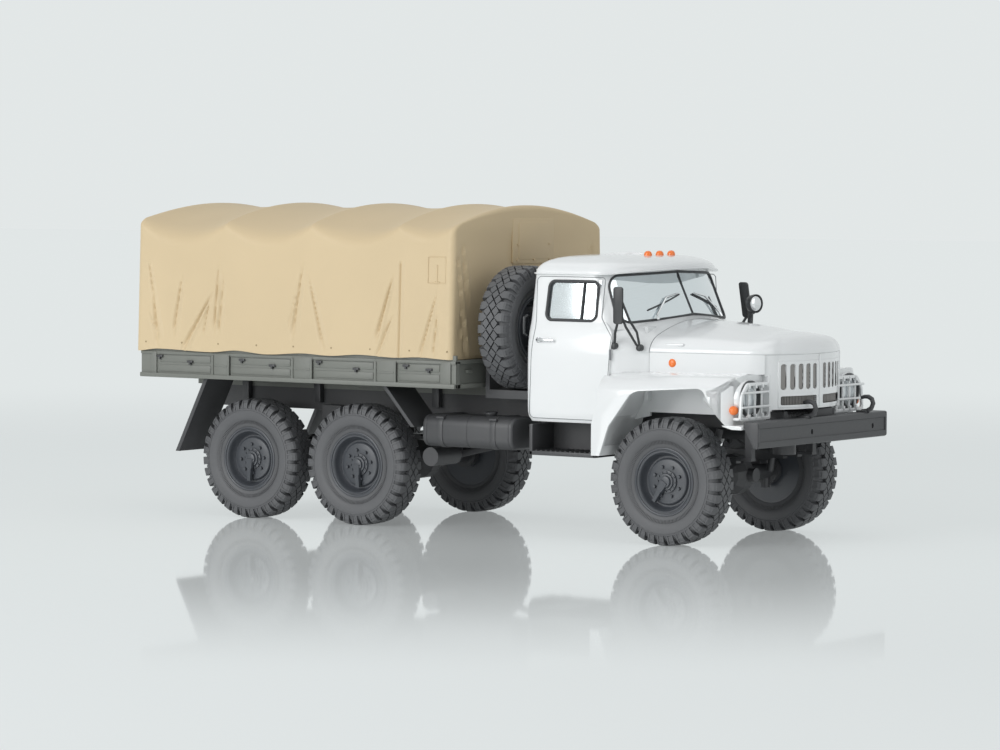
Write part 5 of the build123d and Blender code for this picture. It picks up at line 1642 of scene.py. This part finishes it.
def make_spotlight():
    place, aim = (-4.5, 18.4, 48.2), (0.97, -0.25, 0)
    body = [(-1.6, 0.3), (-1.5, 1.0), (-0.8, 1.75), (0.3, 2.0), (0.75, 2.0), (0.8, 1.85), (0.4, 1.7)]
    body = spun("body", body, place, aim, 32)
    stalk = [(-4.9, 18.4, 46.8), (-5.6, 18.5, 44.6), (-6.0, 18.6, 42.0), (-6.0, 18.7, 40.9)]
    stalk = tube("stalk", stalk, [0.45, 0.35, 0.4, 0.6])
    knob = spun("knob", [(-0.5, 0.5), (0.5, 0.5)], (-4.9, 18.4, 46.4), (0, 1, 0), 12)
    dress("look_spotlight", [body, stalk, knob], 40, "dark_trim", "spotlight")
    lens = spun("look_spot_lens", [(0.35, 1.78), (0.75, 1.6), (1.0, 1.05), (1.1, 0.0)], place, aim, 32)
    finish(smooth(lens, 60), "root", "lamp_lens", look=bright_metal)


def make_wipers():
    """A bent arm and a blade on each half of the windscreen, feet outward."""
    arms, blades = [], []
    for side in (1, -1):
        path = [(screen_x(12.5, 45.8) + 1.0, side * 12.5, 45.6), (screen_x(12.5, 46.6) + 0.9, side * 12.3, 46.5),
                (screen_x(7.6, 50.0) + 0.45, side * 7.6, 50.0), (screen_x(3.2, 50.7) + 0.3, side * 3.2, 50.7)]
        arms.append(tube("arm", path, [0.34, 0.26, 0.22, 0.16], 8))
        run = [(13.4 - 10.8 * s / 8, 47.5 + 3.0 * s / 8) for s in range(9)]
        blades.append(tube("blade", [(screen_x(y, z) + 0.12, side * y, z) for y, z in run], 0.17, 6))
    dress("look_wipers", arms, 40, "dark_trim", "wipers", look=bright_metal)
    dress("look_wiper_blades", blades, 40, "dark_trim", look=rubber_seal)


def make_handles():
    parts = []
    lever = [(-31.0, 24.5, 41.1), (-30.2, 24.9, 41.15), (-28.0, 24.85, 41.15), (-26.9, 24.6, 41.1)]
    parts.append(tube("lever", lever, [0.35, 0.3, 0.26, 0.22], 10))
    parts.append(spun("boss", [(-0.4, 0.55), (0.35, 0.55), (0.5, 0.4)], (-30.7, 24.3, 41.1), (0, 1, 0), 16))
    dress_pair("look_handles", parts, 40, "cab_trim", "handles", look=bright_metal)
    grab = tube("grab", [(-34.5, 23.2, 41.9), (-34.6, 24.0, 42.3), (-34.6, 24.1, 44.0), (-34.6, 24.0, 45.7),
                         (-34.5, 23.0, 46.1)], 0.28, 8)
    dress_pair("look_grab_handles", [grab], 40, "dark_trim")


# Bed, tanks, steps and chassis fittings

BED_FRONT, BED_REAR, BED_HALF = -48.8, -134.1, 28.6
RAIL_LOW, RAIL_HIGH = 30.45, 36.2
# Side posts: rear and front x
BED_POSTS = ((-131.0, -129.6), (-113.9, -109.0), (-91.9, -86.3), (-69.7, -64.0), (-52.4, -50.0))
# Latches on the boards, as (x, z)
LATCHES = (
    (-128.5, 35.1), (-120.0, 34.1), (-105.5, 34.9), (-97.2, 33.9), (-84.5, 35.1), (-74.6, 33.9), (-61.5, 35.0),
    (-55.5, 34.3),
)


# Heights of the two rows of pressed panels
PANEL_BANDS = ((31.7, 33.3), (33.8, 35.4))
# Posts wider than this carry two bars and a shelf
WIDE_POST = 3
BOARD_HALF = 27.8


def make_bed_sides():
    """Drop sides with a sill, framed panels, posts and latches."""
    back, face, proud = BED_HALF - 0.8, BED_HALF - 0.3, BED_HALF + 0.36
    parts = [
        box("board", BED_REAR, BED_FRONT, back, BED_HALF - 0.25, RAIL_LOW, RAIL_HIGH + 1.2),
        soft_box("sill", BED_REAR, BED_FRONT, back, BED_HALF + 0.4, RAIL_LOW, RAIL_LOW + 0.95, 0.12),
        soft_box("top", BED_REAR, BED_FRONT, back, BED_HALF + 0.02, RAIL_HIGH - 0.7, RAIL_HIGH, 0.1),
    ]
    for x0, x1 in BED_POSTS:
        parts.append(soft_box("post", x0, x1, BED_HALF - 0.6, BED_HALF + 0.12, RAIL_LOW, RAIL_HIGH - 0.2, 0.1))
        if x1 - x0 > WIDE_POST:
            for x in (x0 + 0.25, x1 - 0.25):
                low, high = RAIL_LOW + 0.8, RAIL_HIGH - 0.5
                parts.append(soft_box("bar", x - 0.25, x + 0.25, face, proud, low, high, 0.1))
            parts.append(soft_box("shelf", x0 + 0.6, x1 - 0.6, face, BED_HALF + 0.25, 33.2, 33.6, 0.08))
    for (_, rear), (front, _) in zip(BED_POSTS, BED_POSTS[1:]):
        for z0, z1 in PANEL_BANDS:
            x0, x1 = rear + 0.5, front - 0.5
            parts.append(soft_box("panel", x0, x1, BED_HALF - 0.5, BED_HALF - 0.08, z0, z1, 0.2))
    latches = []
    for x, z in LATCHES:
        latches.append(soft_box("latch", x - 0.8, x + 0.8, face, proud, z - 0.25, z + 0.25, 0.12))
        latches.append(box("pin", x - 0.2, x + 0.2, face, BED_HALF + 0.4, z - 0.7, z + 0.1))
    dress_pair("look_bed_latches", latches, 35, "chassis_plastic")
    dress_sides("bed_side", parts, 35, "bed_plastic")


def make_bed_ends():
    """Headboard with rails, posts and latches, and tailgate with panels and posts."""
    back, half = BED_FRONT - 0.8, BOARD_HALF
    parts = [box("board", back, BED_FRONT - 0.35, -half, half, RAIL_LOW, 36.3)]
    for z0, z1 in ((RAIL_LOW, 31.4), (35.6, 36.4)):
        parts.append(soft_box("rail", back, BED_FRONT, -half, half, z0, z1, 0.12))
    for y0, y1 in ((-half, -26.6), (-1.0, 1.0), (26.6, half)):
        parts.append(soft_box("post", back, BED_FRONT, y0, y1, RAIL_LOW, 36.2, 0.12))
    for y in (-23.5, 23.5, -10.0, 10.0):
        parts.append(soft_box("latch", BED_FRONT - 0.5, BED_FRONT + 0.2, y - 1.1, y + 1.1, 33.6, 34.3, 0.15))
    dress("look_headboard", parts, 35, "bed_plastic", "headboard")
    front = BED_REAR + 0.3
    parts = [box("board", BED_REAR, BED_REAR + 0.8, -half, half, RAIL_LOW, 37.8)]
    for z0, z1 in PANEL_BANDS:
        for y0, y1 in ((-26.5, -10.0), (-8.0, 8.0), (10.0, 26.5)):
            parts.append(soft_box("panel", BED_REAR - 0.25, front, y0, y1, z0, z1, 0.2))
    for y in (-27.0, -9.0, 9.0, 27.0):
        parts.append(soft_box("post", BED_REAR - 0.35, front, y - 0.7, y + 0.7, RAIL_LOW, 36.4, 0.12))
    dress("look_tailgate", parts, 35, "bed_plastic", "tailgate")


TANK_REAR, TANK_FRONT = -59.6, -36.6
STEP_REAR, STEP_FRONT = -32.8, -16.4
STEP_RIBS = 12


def make_tanks():
    """Fuel tanks with straps, seams and a filler, and the steps under the doors."""
    outline = rounded_outline([(14.6, 17.9), (25.4, 17.9), (25.4, 24.6), (14.6, 24.6)], 2.2, 8)
    parts = [bevel(prism("tank", outline, TANK_REAR, TANK_FRONT, "x"), 0.5, 3, 60)]
    hoop = rounded_outline([(14.5, 17.75), (25.55, 17.75), (25.55, 24.75), (14.5, 24.75)], 2.3, 8)
    for x in (-55.0, -41.5):
        parts.append(bevel(prism("strap", hoop, x - 0.7, x + 0.7, "x"), 0.1, 2, 60))
        parts.append(box("bracket", x - 0.7, x + 0.7, 10.2, 15.4, 22.3, 24.0))
        parts.append(tube("bolt", [(x - 0.9, 25.1, 24.1), (x + 0.9, 25.1, 24.1)], 0.3, 8))
    seam = rounded_outline([(14.54, 17.84), (25.46, 17.84), (25.46, 24.66), (14.54, 24.66)], 2.24, 8)
    for x in (-58.6, -48.2, -37.6):
        parts.append(prism("seam", seam, x - 0.12, x + 0.12, "x"))
    parts.append(tube("filler", [(-45.0, 20.5, 24.3), (-45.0, 20.8, 25.2)], 1.1, 20))
    parts.append(tube("filler_cap", [(-45.0, 20.8, 25.1), (-45.0, 20.85, 25.5)], 1.35, 20))
    dress_pair("look_tanks", parts, 40, "chassis_plastic", "fuel_tanks")
    x0, x1 = STEP_REAR, STEP_FRONT
    parts = [
        soft_box("tread", x0, x1, 15.5, 24.6, 17.2, 18.1, 0.15), box("back", x0, x1, 15.5, 16.6, 17.2, 23.6),
        soft_box("end", x0, x0 + 0.8, 15.5, 24.6, 17.2, 23.6, 0.12),
        soft_box("end", x1 - 0.8, x1, 15.5, 24.6, 17.2, 23.6, 0.12),
    ]
    for row in range(STEP_RIBS):
        x = x0 + 1.6 + row * (x1 - x0 - 3.2) / (STEP_RIBS - 1)
        parts.append(box("rib", x - 0.18, x + 0.18, 17.4, 24.3, 18.0, 18.3))
    dress_pair("look_steps", parts, 35, "chassis_plastic", "cab_steps")


SPRING_CLAMPS_X = (-77.9, -107.0)
HANGERS_X = (-66.0, -98.0, -118.0, -127.0)


def make_chassis_fittings():
    """Spring clamps, shock absorbers and hoses at the front axle, and the hangers under the bed."""
    parts = []
    for x in SPRING_CLAMPS_X:
        for side in (1, -1):
            for end in (x - 1.2, x + 1.2):
                parts.append(tube("clamp", [(end, side * 13.4, 12.2), (end, side * 13.4, 17.6)], 0.28, 8))
    for side in (1, -1):
        parts.append(tube("shock", [(3.2, side * 12.6, 13.4), (5.6, side * 11.6, 23.4)], 0.75, 12))
        hose = [(-11.0, side * 8.6, 24.4), (-4.0, side * 9.0, 20.6), (0.6, side * 12.8, 16.2)]
        parts.append(tube("hose", hose, 0.3, 8))
    for side in (1, -1):
        y = side * 10.9
        for x in HANGERS_X:
            parts.append(soft_box("hanger", x - 0.9, x + 0.9, y - 0.8, y + 0.8, 25.2, 30.2, 0.12))
    dress("look_chassis_fittings", parts, 40, "chassis_plastic")


bpy.context.scene.view_settings.view_transform = "Standard"
make_camera()
make_floor()
make_world()
make_lights()
dress_nodes()
make_wheels()
make_tarpaulin()
make_bonnet()
make_nose()
make_wings()
make_cab()
make_dashboard()
make_headlights()
make_orange_lamps()
make_bumper()
make_mirrors()
make_spotlight()
make_wipers()
make_handles()
make_bed_sides()
make_bed_ends()
make_tanks()
make_chassis_fittings()
